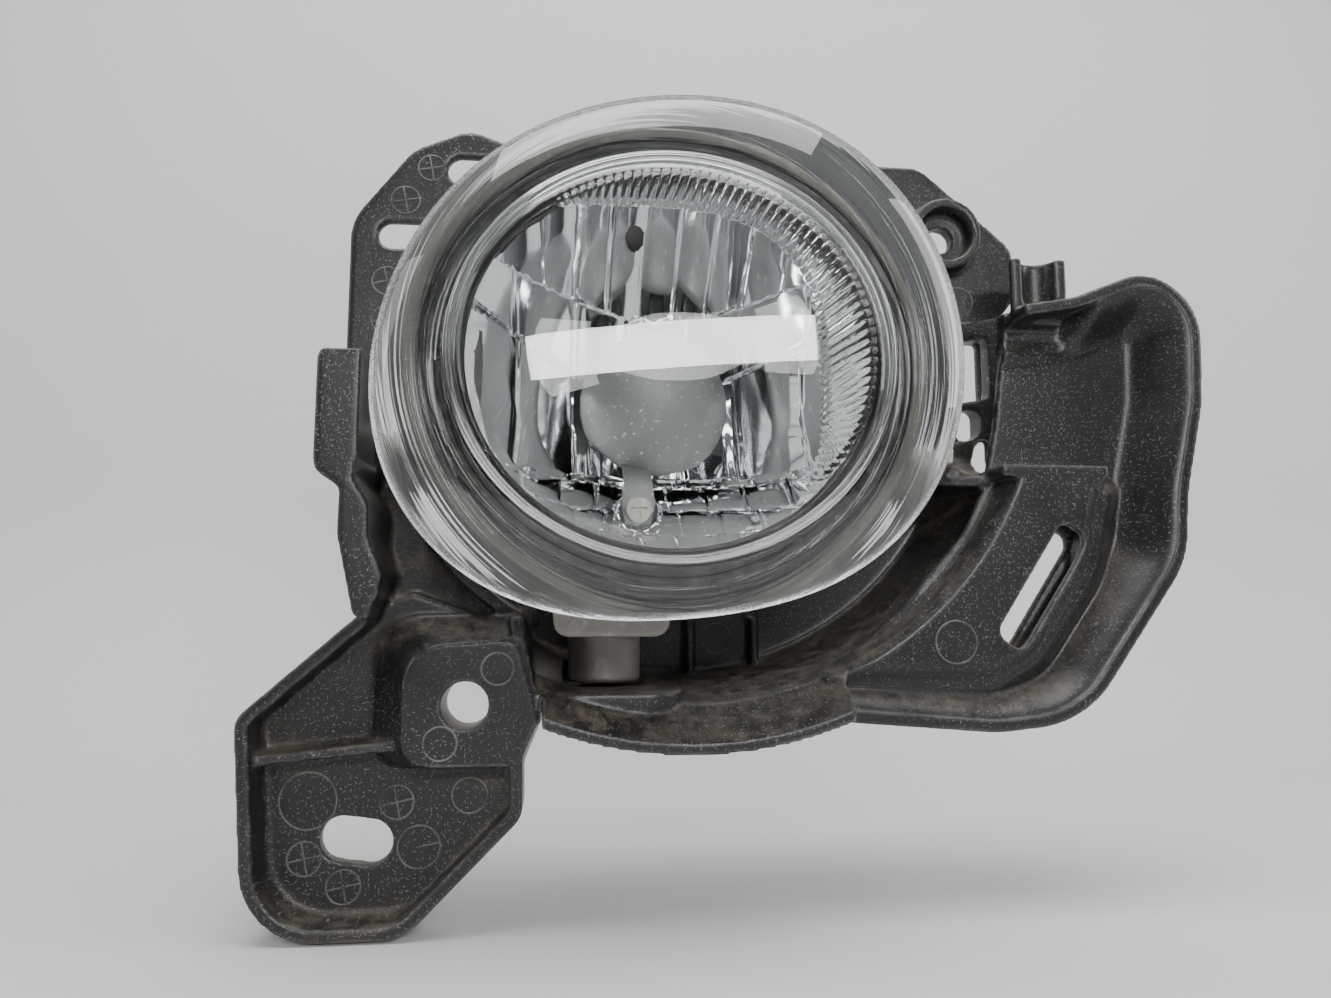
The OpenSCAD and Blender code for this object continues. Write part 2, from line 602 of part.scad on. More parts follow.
// Clear lens: a low dome, a thick rim and a leg that stands in the housing's groove
module lens() {
    color([0.75, 0.85, 0.88, 0.45]) capped_shell(concat(
        [for (q = front_steps) [leg_rx + 6, leg_rz + 6, rim_y - dome_h + 3 * q[0] * q[0]
            + (dome_h - 3) * pow(q[0], 9), q[1], q[0]]],
        [[leg_rx, leg_rz, rim_y + 2.5, 1, 1], [leg_rx, leg_rz, rim_y + 4.5, 1, 0.985],
            [leg_rx, leg_rz, rim_y + 5.4, 0.6, 0.97], [leg_rx, leg_rz, rim_y + 6, 0, 1],
            [leg_rx, leg_rz, groove_y - 2, 0, 1], [leg_rx - 2.8, leg_rz - 2.8, groove_y - 2, 0, 1],
            [leg_rx - 3, leg_rz - 3, rim_y + 2, 0, 1], [leg_rx - 4, leg_rz - 4, rim_y - 0.5, 0, 1],
            [leg_rx - 8, leg_rz - 8, rim_y - 2.5, 0, 1], [leg_rx - 20, leg_rz - 20, rim_y - 3.6, 0, 1],
            [1, 1, rim_y - 4, 0, 1]]));
}

module lens_seal() {
    color([0.12, 0.12, 0.13]) loop_shell([for (q = [[0.5, -1.95], [0.5, -0.05], [-3.1, -0.05], [-3.1, -1.95]])
        [leg_rx + q[0], leg_rz + q[0], groove_y + q[1], 0, 1]]);
}

shield_centre = [39, 64.4];
shield_curve = 19;
shield_front_y = 3.4;
shield_back_y = shield_front_y + shield_curve - sqrt(shield_curve * shield_curve - shield_r * shield_r);

// Domed cap in front of the bulb, with a leg down to its screw
module bulb_shield() {
    color([0.5, 0.5, 0.5]) {
        translate([shield_centre[0], 0, shield_centre[1]]) difference() {
            intersection() {
                translate([0, shield_front_y + shield_curve, 0]) sphere(r = shield_curve, $fn = 96);
                bar_y(0, 0, shield_r, shield_front_y - 1, shield_back_y + 1.4);
            }
            translate([0, shield_front_y + shield_curve, 0]) sphere(r = shield_curve - 0.9, $fn = 96);
            bar_y(0, 0, shield_r + 2, shield_back_y + 1.2, 40);
        }
        // leg
        difference() {
            translate([screw_pad[0] - 3, 0, 0]) rotate([90, 0, 90]) linear_extrude(6)
                polygon([[pad_y - 1, 38.6], [pad_y, 38.6], [pad_y, 45.3], [12.2, 49.6], [12.2, 50.8],
                    [11.2, 50.8], [pad_y - 1, 45.9]]);
            bar_y(screw_pad[0], screw_pad[1], 1.6, pad_y - 2, pad_y + 1);
        }
        difference() {
            bar_y(screw_pad[0], screw_pad[1], 3.8, pad_y - 1, pad_y);
            bar_y(screw_pad[0], screw_pad[1], 1.6, pad_y - 2, pad_y + 1);
        }
    }
}

module shield_screw() {
    color([0.82, 0.8, 0.7]) {
        bar_y(screw_pad[0], screw_pad[1], 1.5, pad_y - 2, pad_y + 6.4);
        difference() {
            bar_y(screw_pad[0], screw_pad[1], 2.6, pad_y - 2.8, pad_y - 1);
            slab(pad_y - 4, pad_y - 1.9) translate(screw_pad) square([0.6, 3.4], center = true);
            slab(pad_y - 4, pad_y - 1.9) translate(screw_pad) square([3.4, 0.6], center = true);
        }
    }
}

// ---------- breather ----------
module breather_cap() {
    color([0.1, 0.1, 0.1]) difference() {
        union() {
            bar_y(breather[0], breather[1], 2, breather_y - 4, breather_y + eps);
            bar_y(breather[0], breather[1], 5, breather_y, breather_y + 8);
        }
        bar_y(breather[0], breather[1], 1, breather_y - 5, breather_y + 4.6);
        bar_y(breather[0], breather[1], 3.6, breather_y + 4, breather_y + 7);
    }
}

module breather_filter() {
    color([0.9, 0.9, 0.9]) bar_y(breather[0], breather[1], 3.5, breather_y + 4.7, breather_y + 6.6);
}

// ---------- bulb ----------
glass_r = 6;
tip_y = 9;
collar_y = 31;
base_front_y = back_y - 2.2;
base_back_y = seat_back_y + 0.4;

module bulb_envelope() {
    color([0.85, 0.88, 0.9, 0.5]) translate([lamp_x, 0, lamp_z]) rotate([-90, 0, 0]) rotate_extrude()
        polygon([[0, tip_y], [3, tip_y + 0.8], [5, tip_y + 2.6], [glass_r, tip_y + 5.5],
            [glass_r, collar_y + 2], [glass_r - 1, collar_y + 2], [glass_r - 1, tip_y + 5.8],
            [4.2, tip_y + 3.6], [2.4, tip_y + 2.1], [0, tip_y + 1.4]]);
}

module bulb_filament() {
    color([0.6, 0.6, 0.62]) for (i = [0:6]) translate([lamp_x, 16 + 0.7 * i, lamp_z]) rotate([90, 0, 0])
        rotate_extrude($fn = 24) translate([0.75, 0]) circle(r = 0.36, $fn = 16);
}

module bulb_leads() {
    color([0.7, 0.7, 0.7]) {
        bar_y(lamp_x, lamp_z - 1.6, 0.4, 20.7, collar_y + 1.8);
        bar_y(lamp_x, lamp_z + 3.2, 0.4, 14.6, collar_y + 1.8);
        translate([lamp_x, 15, lamp_z + 0.9]) cylinder(r = 0.4, h = 2.3);
        translate([lamp_x, 21.1, lamp_z - 1.7]) cylinder(r = 0.4, h = 0.9);
    }
}

module bulb_collar() {
    color([0.78, 0.79, 0.8]) difference() {
        union() {
            bar_y(lamp_x, lamp_z, 7.2, collar_y, base_front_y);
            bar_y(lamp_x, lamp_z, 8.6, base_front_y - 1, base_front_y);
        }
        bar_y(lamp_x, lamp_z, glass_r + 0.05, collar_y - 1, collar_y + 2.1);
    }
}

module bulb_base() {
    color([0.13, 0.13, 0.14]) difference() {
        union() {
            bar_y(lamp_x, lamp_z, seat_r - 0.3, base_front_y, base_back_y + eps);
            for (a = [10, 130, 250]) slab(base_front_y, seat_front_y - 0.4) translate(lens_centre) rotate(a)
                translate([seat_r - 2.4, -2.2]) square([4.6, 4.4]);
            bar_y(lamp_x, lamp_z, 15, base_back_y, base_back_y + 2.4);
            bar_y(lamp_x, lamp_z, 12, base_back_y + 2, base_back_y + 13);
            translate([lamp_x - 10, base_back_y + 1.6, lamp_z - 31]) cube([20, 13.6, 28]);
            for (s = [-1, 1]) bar_y(lamp_x + s * 11.4, lamp_z + 4, 1.6, base_back_y + 2, base_back_y + 11);
        }
        // groove of the O-ring
        difference() {
            bar_y(lamp_x, lamp_z, seat_r + 1, back_y + 2, back_y + 4.4);
            bar_y(lamp_x, lamp_z, seat_r - 2.1, back_y + 1, back_y + 5);
        }
        // plug socket
        translate([lamp_x - 8, base_back_y + 3.8, lamp_z - 32]) cube([16, 9.2, 17]);
    }
}

module bulb_oring() {
    color([0.75, 0.35, 0.15]) translate([lamp_x, back_y + 3.2, lamp_z]) rotate([90, 0, 0]) rotate_extrude()
        translate([seat_r - 1.1, 0]) circle(r = 0.98, $fn = 24);
}

module bulb_terminals() {
    color([0.8, 0.72, 0.45]) for (s = [-1, 1])
        translate([lamp_x + s * 3.4 - 1.4, base_back_y + 8, lamp_z - 27]) cube([2.8, 0.8, 12]);
}

bracket();
pivot_bushes();
adjuster_screw();
adjuster_washer();
adjuster_clip();
adjuster_nut();
housing();
pivot_screws();
reflector();
reflector_screws();
lens();
lens_seal();
bulb_shield();
shield_screw();
breather_cap();
breather_filter();
bulb_envelope();
bulb_filament();
bulb_leads();
bulb_collar();
bulb_base();
bulb_oring();
bulb_terminals();
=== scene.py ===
"""Front fog lamp on its carrier bracket: the visual model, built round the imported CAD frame.

Run as a script: it loads the frame, registers the operators below, calls them in order
and finishes the scene. Lengths are metres in the CAD frame unless a name ends in _mm.
"""
import json
import math

import bmesh
import bpy
import numpy as np
from bpy.props import FloatProperty, FloatVectorProperty, IntProperty, PointerProperty
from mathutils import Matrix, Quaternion, Vector


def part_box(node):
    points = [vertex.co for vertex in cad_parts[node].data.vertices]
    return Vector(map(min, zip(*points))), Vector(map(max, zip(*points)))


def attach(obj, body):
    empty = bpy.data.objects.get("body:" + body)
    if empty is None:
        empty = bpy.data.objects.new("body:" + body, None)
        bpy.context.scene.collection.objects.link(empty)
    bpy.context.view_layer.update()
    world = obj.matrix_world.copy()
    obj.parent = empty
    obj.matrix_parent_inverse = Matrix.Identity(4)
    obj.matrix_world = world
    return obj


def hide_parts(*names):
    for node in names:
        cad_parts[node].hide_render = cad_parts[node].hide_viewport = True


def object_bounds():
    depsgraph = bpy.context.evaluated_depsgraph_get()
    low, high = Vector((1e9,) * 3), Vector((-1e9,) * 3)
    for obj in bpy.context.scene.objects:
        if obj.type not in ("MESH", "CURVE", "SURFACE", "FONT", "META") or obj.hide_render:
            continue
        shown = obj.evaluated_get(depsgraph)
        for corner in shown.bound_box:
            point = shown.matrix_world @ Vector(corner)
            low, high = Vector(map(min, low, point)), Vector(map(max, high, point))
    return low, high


bl_info = {
    "name": "Fog Lamp Looks",
    "version": (1, 0, 0),
    "blender": (4, 5, 0),
    "location": "View3D > Sidebar > Fog Lamp",
    "description": "Builds the glass, mirror, casting and bracket surfaces of a fog lamp",
    "category": "Object",
}

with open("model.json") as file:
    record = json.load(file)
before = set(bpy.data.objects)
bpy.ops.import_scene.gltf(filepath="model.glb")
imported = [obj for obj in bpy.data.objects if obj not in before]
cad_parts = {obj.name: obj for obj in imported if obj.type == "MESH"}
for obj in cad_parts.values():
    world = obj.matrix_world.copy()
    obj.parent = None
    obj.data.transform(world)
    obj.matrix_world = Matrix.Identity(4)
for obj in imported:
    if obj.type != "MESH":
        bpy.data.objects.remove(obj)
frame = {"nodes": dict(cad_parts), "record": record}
CAD_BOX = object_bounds()
MM = 0.001
# the shield's foot on the mirror, and the mirror's vent hole, in millimetres
FOOT_X, FOOT_Y, FOOT_Z = 34.9, 5.0, 39.8
VENT_X, VENT_Z, VENT_R = 34.0, 98.8, 1.9
# waves round the lens outline: how many in a turn, cosine height, sine height
RIM_WAVES = ((1, 0.5, 0.0), (2, 2.8, 1.8), (3, 0.0, -1.0), (4, -0.6, 0.0))
# height of the lens's dome over its rim
DOME_RISE = 8.0


def node_box(name):
    """Lowest and highest corner of a CAD node as arrays, in millimetres."""
    low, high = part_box(name)
    return np.array(low) / MM, np.array(high) / MM


LENS_LOW, _ = node_box("lens")
REFLECTOR_LOW, _ = node_box("reflector")
SHIELD_LOW, SHIELD_HIGH = node_box("bulb_shield")
BULB_LOW, BULB_HIGH = node_box("bulb_envelope")
AXIS_X = (BULB_LOW[0] + BULB_HIGH[0]) / 2
AXIS_Z = (BULB_LOW[2] + BULB_HIGH[2]) / 2
RIM_Y = LENS_LOW[1] + DOME_RISE


# ---------- sizes and colours a user would change ----------
class FogLampSizes(bpy.types.PropertyGroup):
    """Sizes of the visual pieces."""

    rim_radius_mm: FloatProperty(
        name="Rim radius", description="Mean radius of the lens outline",
        default=54.8)
    flute_count: IntProperty(
        name="Flutes", description="Flutes in a full turn about their common point",
        default=237)
    flute_depth_mm: FloatProperty(
        name="Flute depth", description="Height of one lens flute",
        default=0.5)
    bracket_grid_mm: FloatProperty(
        name="Bracket grid", description="Grid the bracket's surface is laid on",
        default=0.6)
    mirror_grid_mm: FloatProperty(
        name="Mirror grid", description="Spacing of the mirror's grid",
        default=0.29)


class FogLampColours(bpy.types.PropertyGroup):
    """Base colours of the finishes."""

    bracket: FloatVectorProperty(
        name="Bracket", description="Moulded plastic",
        subtype="COLOR", default=(0.0075, 0.0075, 0.008))
    dust: FloatVectorProperty(
        name="Dust", description="Dust that settles in corners",
        subtype="COLOR", default=(0.34, 0.29, 0.22))
    casting: FloatVectorProperty(
        name="Casting", description="Raw cast aluminium",
        subtype="COLOR", default=(0.19, 0.18, 0.165))
    shield: FloatVectorProperty(
        name="Shield", description="Matte grey paint",
        subtype="COLOR", default=(0.30, 0.30, 0.30))
    backdrop: FloatVectorProperty(
        name="Backdrop", description="Floor and wall",
        subtype="COLOR", default=(0.62, 0.62, 0.61))


def sizes():
    return bpy.context.scene.fog_lamp_sizes


def colours():
    return bpy.context.scene.fog_lamp_colours


# ---------- mesh helpers ----------
def new_object(name, points_mm, faces, smooth=True):
    """A mesh object from points in millimetres and faces, with its normals made consistent."""
    mesh = bpy.data.meshes.new(name)
    points = (np.asarray(points_mm, float) * MM).tolist()
    mesh.from_pydata(points, [], [list(f) for f in faces])
    mesh.validate()
    bm = bmesh.new()
    bm.from_mesh(mesh)
    bmesh.ops.remove_doubles(bm, verts=bm.verts, dist=1e-7)
    bmesh.ops.recalc_face_normals(bm, faces=bm.faces)
    bm.to_mesh(mesh)
    bm.free()
    mesh.polygons.foreach_set("use_smooth", np.full(len(mesh.polygons), smooth))
    ob = bpy.data.objects.new(name, mesh)
    bpy.context.scene.collection.objects.link(ob)
    return ob


def grid_faces(rows, cols, wrap_rows=False, wrap_cols=False):
    """Quads of a rows by cols grid of points, closed in either direction if asked."""
    r = np.arange(rows if wrap_rows else rows - 1)[:, None]
    c = np.arange(cols if wrap_cols else cols - 1)[None, :]
    a = r * cols + c
    b = r * cols + (c + 1) % cols
    d = ((r + 1) % rows) * cols + c
    e = ((r + 1) % rows) * cols + (c + 1) % cols
    return np.stack([a, b, e, d], -1).reshape(-1, 4)


def sharpen(ob, degrees):
    """Marks edges sharper than an angle, so smooth shading stops at them."""
    mesh = ob.data
    bm = bmesh.new()
    bm.from_mesh(mesh)
    limit = math.radians(degrees)
    for edge in bm.edges:
        if len(edge.link_faces) == 2 and edge.calc_face_angle(0.0) > limit:
            edge.smooth = False
    bm.to_mesh(mesh)
    bm.free()


def rim_radius(angle):
    """Lens outline: a mean radius and four slow waves round it."""
    r = np.full_like(angle, sizes().rim_radius_mm)
    for n, c, s in RIM_WAVES:
        r = r + c * np.cos(n * angle) + s * np.sin(n * angle)
    return r


def oval_radius(angle, rx, rz):
    """Radius of an ellipse with half axes rx and rz at an angle."""
    return rx * rz / np.hypot(rz * np.cos(angle), rx * np.sin(angle))


def smooth_step(x, low, high):
    """Rises from 0 at low to 1 at high, level at both ends."""
    t = np.clip((x - low) / (high - low), 0, 1)
    return t * t * (3 - 2 * t)


def place(ob, body, slot, material, *nodes):
    """Gives a piece its finish and body, and hides the CAD nodes it stands for. The slot is not
    used.
    """
    ob.data.materials.clear()
    ob.data.materials.append(material)
    if nodes:
        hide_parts(*nodes)
    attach(ob, body)
    return ob


# ---------- material helpers ----------
class Nodes:
    """A short way to build a node tree: each call adds a node and returns an output."""

    def __init__(self, name):
        old = bpy.data.materials.get(name)
        if old:
            bpy.data.materials.remove(old)
        self.material = bpy.data.materials.new(name)
        self.material.use_nodes = True
        self.tree = self.material.node_tree
        self.tree.nodes.clear()
        self.out = self.tree.nodes.new("ShaderNodeOutputMaterial")
        self.shader = self.tree.nodes.new("ShaderNodeBsdfPrincipled")
        self.tree.links.new(self.shader.outputs[0], self.out.inputs[0])
        self.coords = self.tree.nodes.new("ShaderNodeTexCoord").outputs["Object"]

    def link(self, value, socket):
        if isinstance(value, bpy.types.NodeSocket):
            self.tree.links.new(value, socket)
        else:
            socket.default_value = value

    def set(self, **values):
        for name, value in values.items():
            self.link(value, self.shader.inputs[name.replace("_", " ")])

    def noise(self, scale, detail=3.0, rough=0.55, vector=None, distortion=0.0):
        n = self.tree.nodes.new("ShaderNodeTexNoise")
        self.link(vector or self.coords, n.inputs["Vector"])
        n.inputs["Scale"].default_value = scale
        n.inputs["Detail"].default_value = detail
        n.inputs["Roughness"].default_value = rough
        n.inputs["Distortion"].default_value = distortion
        return n.outputs[0]

    def stretch(self, scale):
        n = self.tree.nodes.new("ShaderNodeMapping")
        self.link(self.coords, n.inputs["Vector"])
        n.inputs["Scale"].default_value = scale
        return n.outputs[0]

    def ramp(self, value, *stops):
        n = self.tree.nodes.new("ShaderNodeValToRGB")
        self.link(value, n.inputs[0])
        elements = n.color_ramp.elements
        while len(elements) < len(stops):
            elements.new(0.5)
        for element, (place_at, shade) in zip(elements, stops):
            element.position = place_at
            tint = shade if isinstance(shade, tuple) else (shade, shade, shade)
            element.color = (*tint, 1)
        return n.outputs[0]

    def math(self, op, a, b=0.0, clamp=False):
        n = self.tree.nodes.new("ShaderNodeMath")
        n.operation = op
        n.use_clamp = clamp
        self.link(a, n.inputs[0])
        self.link(b, n.inputs[1])
        return n.outputs[0]

    def mix(self, share, a, b):
        n = self.tree.nodes.new("ShaderNodeMix")
        n.data_type = "RGBA"
        self.link(share, n.inputs[0])
        self.link(a if isinstance(a, bpy.types.NodeSocket) else (*a, 1), n.inputs[6])
        self.link(b if isinstance(b, bpy.types.NodeSocket) else (*b, 1), n.inputs[7])
        return n.outputs[2]

    def bump(self, height, strength, distance, normal=None):
        n = self.tree.nodes.new("ShaderNodeBump")
        n.inputs["Strength"].default_value = strength
        n.inputs["Distance"].default_value = distance
        self.link(height, n.inputs["Height"])
        if normal:
            self.link(normal, n.inputs["Normal"])
        return n.outputs[0]

    def fibres(self, scale, half_length, half_width):
        """Mask of short straight fibres: one in each cell, turned by the cell's random colour."""
        cell = self.tree.nodes.new("ShaderNodeTexVoronoi")
        self.link(self.coords, cell.inputs["Vector"])
        cell.inputs["Scale"].default_value = scale
        parts = []
        from_cell = self.vector("SUBTRACT", self.coords, cell.outputs["Position"])
        for source in (from_cell, cell.outputs["Color"]):
            split = self.tree.nodes.new("ShaderNodeSeparateXYZ")
            self.link(source, split.inputs[0])
            parts.append((split.outputs["X"], split.outputs["Z"], split.outputs["Y"]))
        (x, z, _), (turn, keep, bend) = parts
        angle = self.math("MULTIPLY", turn, 6.283)
        cos, sin = self.math("COSINE", angle), self.math("SINE", angle)
        along = self.math("ADD", self.math("MULTIPLY", x, cos), self.math("MULTIPLY", z, sin))
        across = self.math(
            "SUBTRACT", self.math("MULTIPLY", z, cos), self.math("MULTIPLY", x, sin))
        bow = self.math(
            "MULTIPLY", self.math("MULTIPLY", along, along), self.math("MULTIPLY", bend, 900.0))
        across = self.math("ABSOLUTE", self.math("ADD", across, bow))
        thin = self.math("LESS_THAN", across, half_width)
        reach = self.math("MULTIPLY", keep, half_length)
        short = self.math("LESS_THAN", self.math("ABSOLUTE", along), reach)
        return self.math("MULTIPLY", thin, short)

    def rings(self, scale):
        """Uneven rings round the lamp's axis: a noise of the distance from that axis."""
        axis = (AXIS_X * MM, 0.0, AXIS_Z * MM)
        from_axis = self.vector("SUBTRACT", self.coords, axis)
        flat = self.vector("MULTIPLY", from_axis, (1.0, 0.0, 1.0))
        length = self.tree.nodes.new("ShaderNodeVectorMath")
        length.operation = "LENGTH"
        self.link(flat, length.inputs[0])
        line = self.tree.nodes.new("ShaderNodeCombineXYZ")
        self.link(length.outputs["Value"], line.inputs["X"])
        return self.noise(scale, 2, 0.5, line.outputs[0])

    def vector(self, op, a, b):
        n = self.tree.nodes.new("ShaderNodeVectorMath")
        n.operation = op
        self.link(a, n.inputs[0])
        self.link(b, n.inputs[1])
        return n.outputs[0]

    def edge(self, radius, low, high):
        """Mask of convex and concave edges: where a rounded normal leaves the true one."""
        bevel = self.tree.nodes.new("ShaderNodeBevel")
        bevel.inputs["Radius"].default_value = radius
        geometry = self.tree.nodes.new("ShaderNodeNewGeometry")
        dot = self.tree.nodes.new("ShaderNodeVectorMath")
        dot.operation = "DOT_PRODUCT"
        self.link(bevel.outputs[0], dot.inputs[0])
        self.link(geometry.outputs["Normal"], dot.inputs[1])
        apart = self.math("SUBTRACT", 1.0, dot.outputs["Value"])
        return self.ramp(apart, (low, 0.0), (high, 1.0))

    def cavity(self, distance, low, high):
        """Mask of corners where little of the sky is open: it places dust, and painted shade on the
        casting.
        """
        ao = self.tree.nodes.new("ShaderNodeAmbientOcclusion")
        ao.samples = 6
        ao.inputs["Distance"].default_value = distance
        return self.ramp(ao.outputs["AO"], (low, 1.0), (high, 0.0))

    def facing_up(self, low, high):
        """Mask of faces that look up, where dust settles."""
        geometry = self.tree.nodes.new("ShaderNodeNewGeometry")
        split = self.tree.nodes.new("ShaderNodeSeparateXYZ")
        self.link(geometry.outputs["Normal"], split.inputs[0])
        return self.ramp(split.outputs["Z"], (low, 0.0), (high, 1.0))

    def attribute(self, name):
        n = self.tree.nodes.new("ShaderNodeAttribute")
        n.attribute_name = name
        return n.outputs["Fac"]


def bracket_plastic():
    """Fine-grained black plastic with pale glass fibres, dusty corners, and edges lightened partly
    as rubbed wear and partly as painted highlight.
    """
    n = Nodes("bracket_plastic")
    black = tuple(colours().bracket)
    patches = n.noise(26, 5, 0.6)
    specks = n.ramp(n.noise(2100, 2, 0.5), (0.65, 0.0), (0.73, 1.0))
    fibres = n.math("MULTIPLY", n.fibres(740, 0.00048, 0.00005), 0.8)
    fibres = n.math("MAXIMUM", fibres, specks)
    wear = n.math("MULTIPLY", fibres, n.ramp(patches, (0.38, 0.08), (0.62, 0.85)))
    base = n.mix(n.ramp(patches, (0.3, 0.0), (0.7, 1.0)), black, tuple(2.0 * c for c in black))
    base = n.mix(wear, base, (0.28, 0.275, 0.26))
    uneven = n.ramp(n.noise(140, 3), (0.35, 0.25), (0.65, 1.0))
    # edges lighter grey: partly rubbed wear, partly a painted highlight along the rolled rims
    rubbed_and_highlit = n.math("MULTIPLY", n.edge(0.0011, 0.01, 0.12), uneven)
    base = n.mix(n.math("MULTIPLY", rubbed_and_highlit, 0.7), base, (0.25, 0.25, 0.243))
    corner = n.cavity(0.010, 0.2, 0.75)
    clumps = n.ramp(n.noise(75, 6, 0.7), (0.40, 0.0), (0.62, 1.0))
    dust = n.math("MULTIPLY", corner, clumps)
    dust = n.math("MULTIPLY", dust, n.math("ADD", n.facing_up(-0.3, 0.6), 0.3, True))
    thin = n.ramp(n.noise(240, 5, 0.7), (0.42, 0.03), (0.7, 0.55))
    film = n.math("MULTIPLY", n.facing_up(0.3, 0.95), thin)
    dust = n.math("ADD", dust, film, True)
    base = n.mix(n.math("MULTIPLY", dust, 0.6), base, tuple(colours().dust))
    gloss = n.ramp(n.noise(42, 4), (0.3, 0.29), (0.75, 0.43))
    n.set(Base_Color=base, Roughness=n.math("ADD", gloss, n.math("MULTIPLY", dust, 0.3), True))
    n.shader.inputs["Specular IOR Level"].default_value = 0.42
    grain = n.bump(n.noise(2600, 2, 0.5), 0.22, 0.0002)
    raised = n.bump(fibres, 0.2, 0.00006, grain)
    n.set(Normal=n.bump(n.noise(320, 3, 0.5), 0.12, 0.0004, raised))
    return n.material


def cast_metal():
    """Raw die casting: dull warm grey, mottled, with chalky white oxide."""
    n = Nodes("cast_aluminium")
    mottled = n.noise(60, 6, 0.65)
    oxide = n.ramp(n.noise(260, 6, 0.75, distortion=0.8), (0.56, 0.0), (0.76, 1.0))
    base = n.mix(n.ramp(mottled, (0.3, 0.0), (0.7, 1.0)), tuple(colours().casting),
                 tuple(1.45 * c for c in colours().casting))
    base = n.mix(n.math("MULTIPLY", oxide, 0.6), base, (0.5, 0.485, 0.45))
    # painted shade: a darker brown laid into the corners the cavity mask finds
    corner_shade = n.math("MULTIPLY", n.cavity(0.008, 0.3, 0.8), 0.5)
    base = n.mix(corner_shade, base, (0.12, 0.105, 0.085))
    n.set(Base_Color=base, Metallic=n.ramp(oxide, (0.0, 0.75), (1.0, 0.15)),
          Roughness=n.ramp(mottled, (0.2, 0.48), (0.8, 0.72)))
    waves = n.bump(n.noise(140, 4), 0.3, 0.0004)
    n.set(Normal=n.bump(n.noise(1100, 3, 0.6), 0.35, 0.0002, waves))
    return n.material


def lens_glass():
    """Clear pressed glass: scratched where 'ground' is 1; turned, dull and tinted darker, a painted
    shade, on the misted band behind the rim.
    """
    n = Nodes("lens_glass")
    ground, misted_and_shaded = n.attribute("ground"), n.attribute("misted_and_shaded")
    streaks = n.noise(1500, 4, 0.7, n.stretch((1.0, 0.5, 1.0)), 2.0)
    scratches = n.ramp(streaks, (0.5, 0.0), (0.72, 1.0))
    worn = n.math("MULTIPLY", ground, n.math("ADD", 0.25, scratches), True)
    specks = n.ramp(n.noise(2600, 2, 0.5), (0.78, 0.0), (0.82, 0.35))
    # painted shade: the misted band is tinted a darker grey, standing in for the dark parts seen
    # through it
    clear = n.mix(misted_and_shaded, (0.90, 0.915, 0.915), (0.64, 0.68, 0.69))
    rough = n.math("MULTIPLY", n.math("ADD", worn, specks, True), 0.4)
    rough = n.math("ADD", rough, n.math("MULTIPLY", misted_and_shaded, 0.09))
    n.set(Base_Color=n.mix(worn, clear, (0.5, 0.51, 0.51)), Roughness=rough,
          Transmission_Weight=n.ramp(worn, (0.0, 1.0), (1.0, 0.6)))
    n.shader.inputs["IOR"].default_value = 1.5
    turned = n.math("MULTIPLY", n.rings(900), misted_and_shaded)
    scored = n.math("MULTIPLY", scratches, ground)
    n.set(Normal=n.bump(scored, 0.2, 0.0001, n.bump(turned, 0.5, 0.0006)))
    return n.material


def mirror():
    """Vacuum-metallised mirror with a few dust specks."""
    n = Nodes("mirror_metal")
    specks = n.ramp(n.noise(1500, 2, 0.5), (0.74, 0.0), (0.78, 1.0))
    n.set(Base_Color=n.mix(specks, (0.86, 0.87, 0.88), (0.45, 0.45, 0.44)), Metallic=1.0,
          Roughness=n.ramp(n.noise(30, 4), (0.3, 0.045), (0.8, 0.11)))
    n.set(Normal=n.bump(n.noise(120, 3), 0.03, 0.0004))
    return n.material


def matte_paint():
    """Matte grey heat-proof paint with a fine pebbled skin and dust specks."""
    n = Nodes("shield_paint")
    pebble = n.noise(1500, 3, 0.6)
    specks = n.ramp(n.noise(1100, 2, 0.5), (0.66, 0.0), (0.72, 1.0))
    base = n.mix(n.ramp(n.noise(90, 4), (0.3, 0.0), (0.7, 1.0)), tuple(colours().shield),
                 tuple(1.25 * c for c in colours().shield))
    n.set(Base_Color=n.mix(specks, base, (0.85, 0.85, 0.84)), Metallic=0.55,
          Roughness=n.ramp(pebble, (0.3, 0.38), (0.7, 0.52)))
    n.set(Normal=n.bump(pebble, 0.5, 0.0003))
    return n.material


def plain_metal(name, tint, rough, grain_scale=900):
    """Plated or bare steel with fine drawn grain, stains and small pits."""
    n = Nodes(name)
    stain = n.noise(240, 5, 0.65)
    base = n.mix(n.ramp(stain, (0.35, 0.0), (0.7, 1.0)), tint, tuple(0.62 * c for c in tint))
    n.set(Base_Color=base, Metallic=1.0, Roughness=n.ramp(stain, (0.3, rough), (0.8, rough + 0.2)))
    n.set(Normal=n.bump(n.noise(grain_scale, 4, 0.6, n.stretch((1.0, 0.2, 1.0))), 0.2, 0.0001))
    return n.material


def moulded(name, tint, rough, dusty=0.25):
    """Plain moulded plastic or rubber: fine grain, uneven gloss, a little dust."""
    n = Nodes(name)
    uneven = n.noise(110, 4)
    lighter = tuple(min(1.0, 1.3 * c) for c in tint)
    base = n.mix(n.ramp(uneven, (0.3, 0.0), (0.7, 1.0)), tint, lighter)
    specks = n.ramp(n.noise(260, 5), (0.4, 0.0), (0.7, dusty))
    dust = n.math("MULTIPLY", n.cavity(0.006, 0.3, 0.85), specks)
    n.set(Base_Color=n.mix(dust, base, tuple(colours().dust)),
          Roughness=n.ramp(uneven, (0.2, rough), (0.8, rough + 0.15)))
    n.set(Normal=n.bump(n.noise(1500, 3), 0.2, 0.00012))
    return n.material


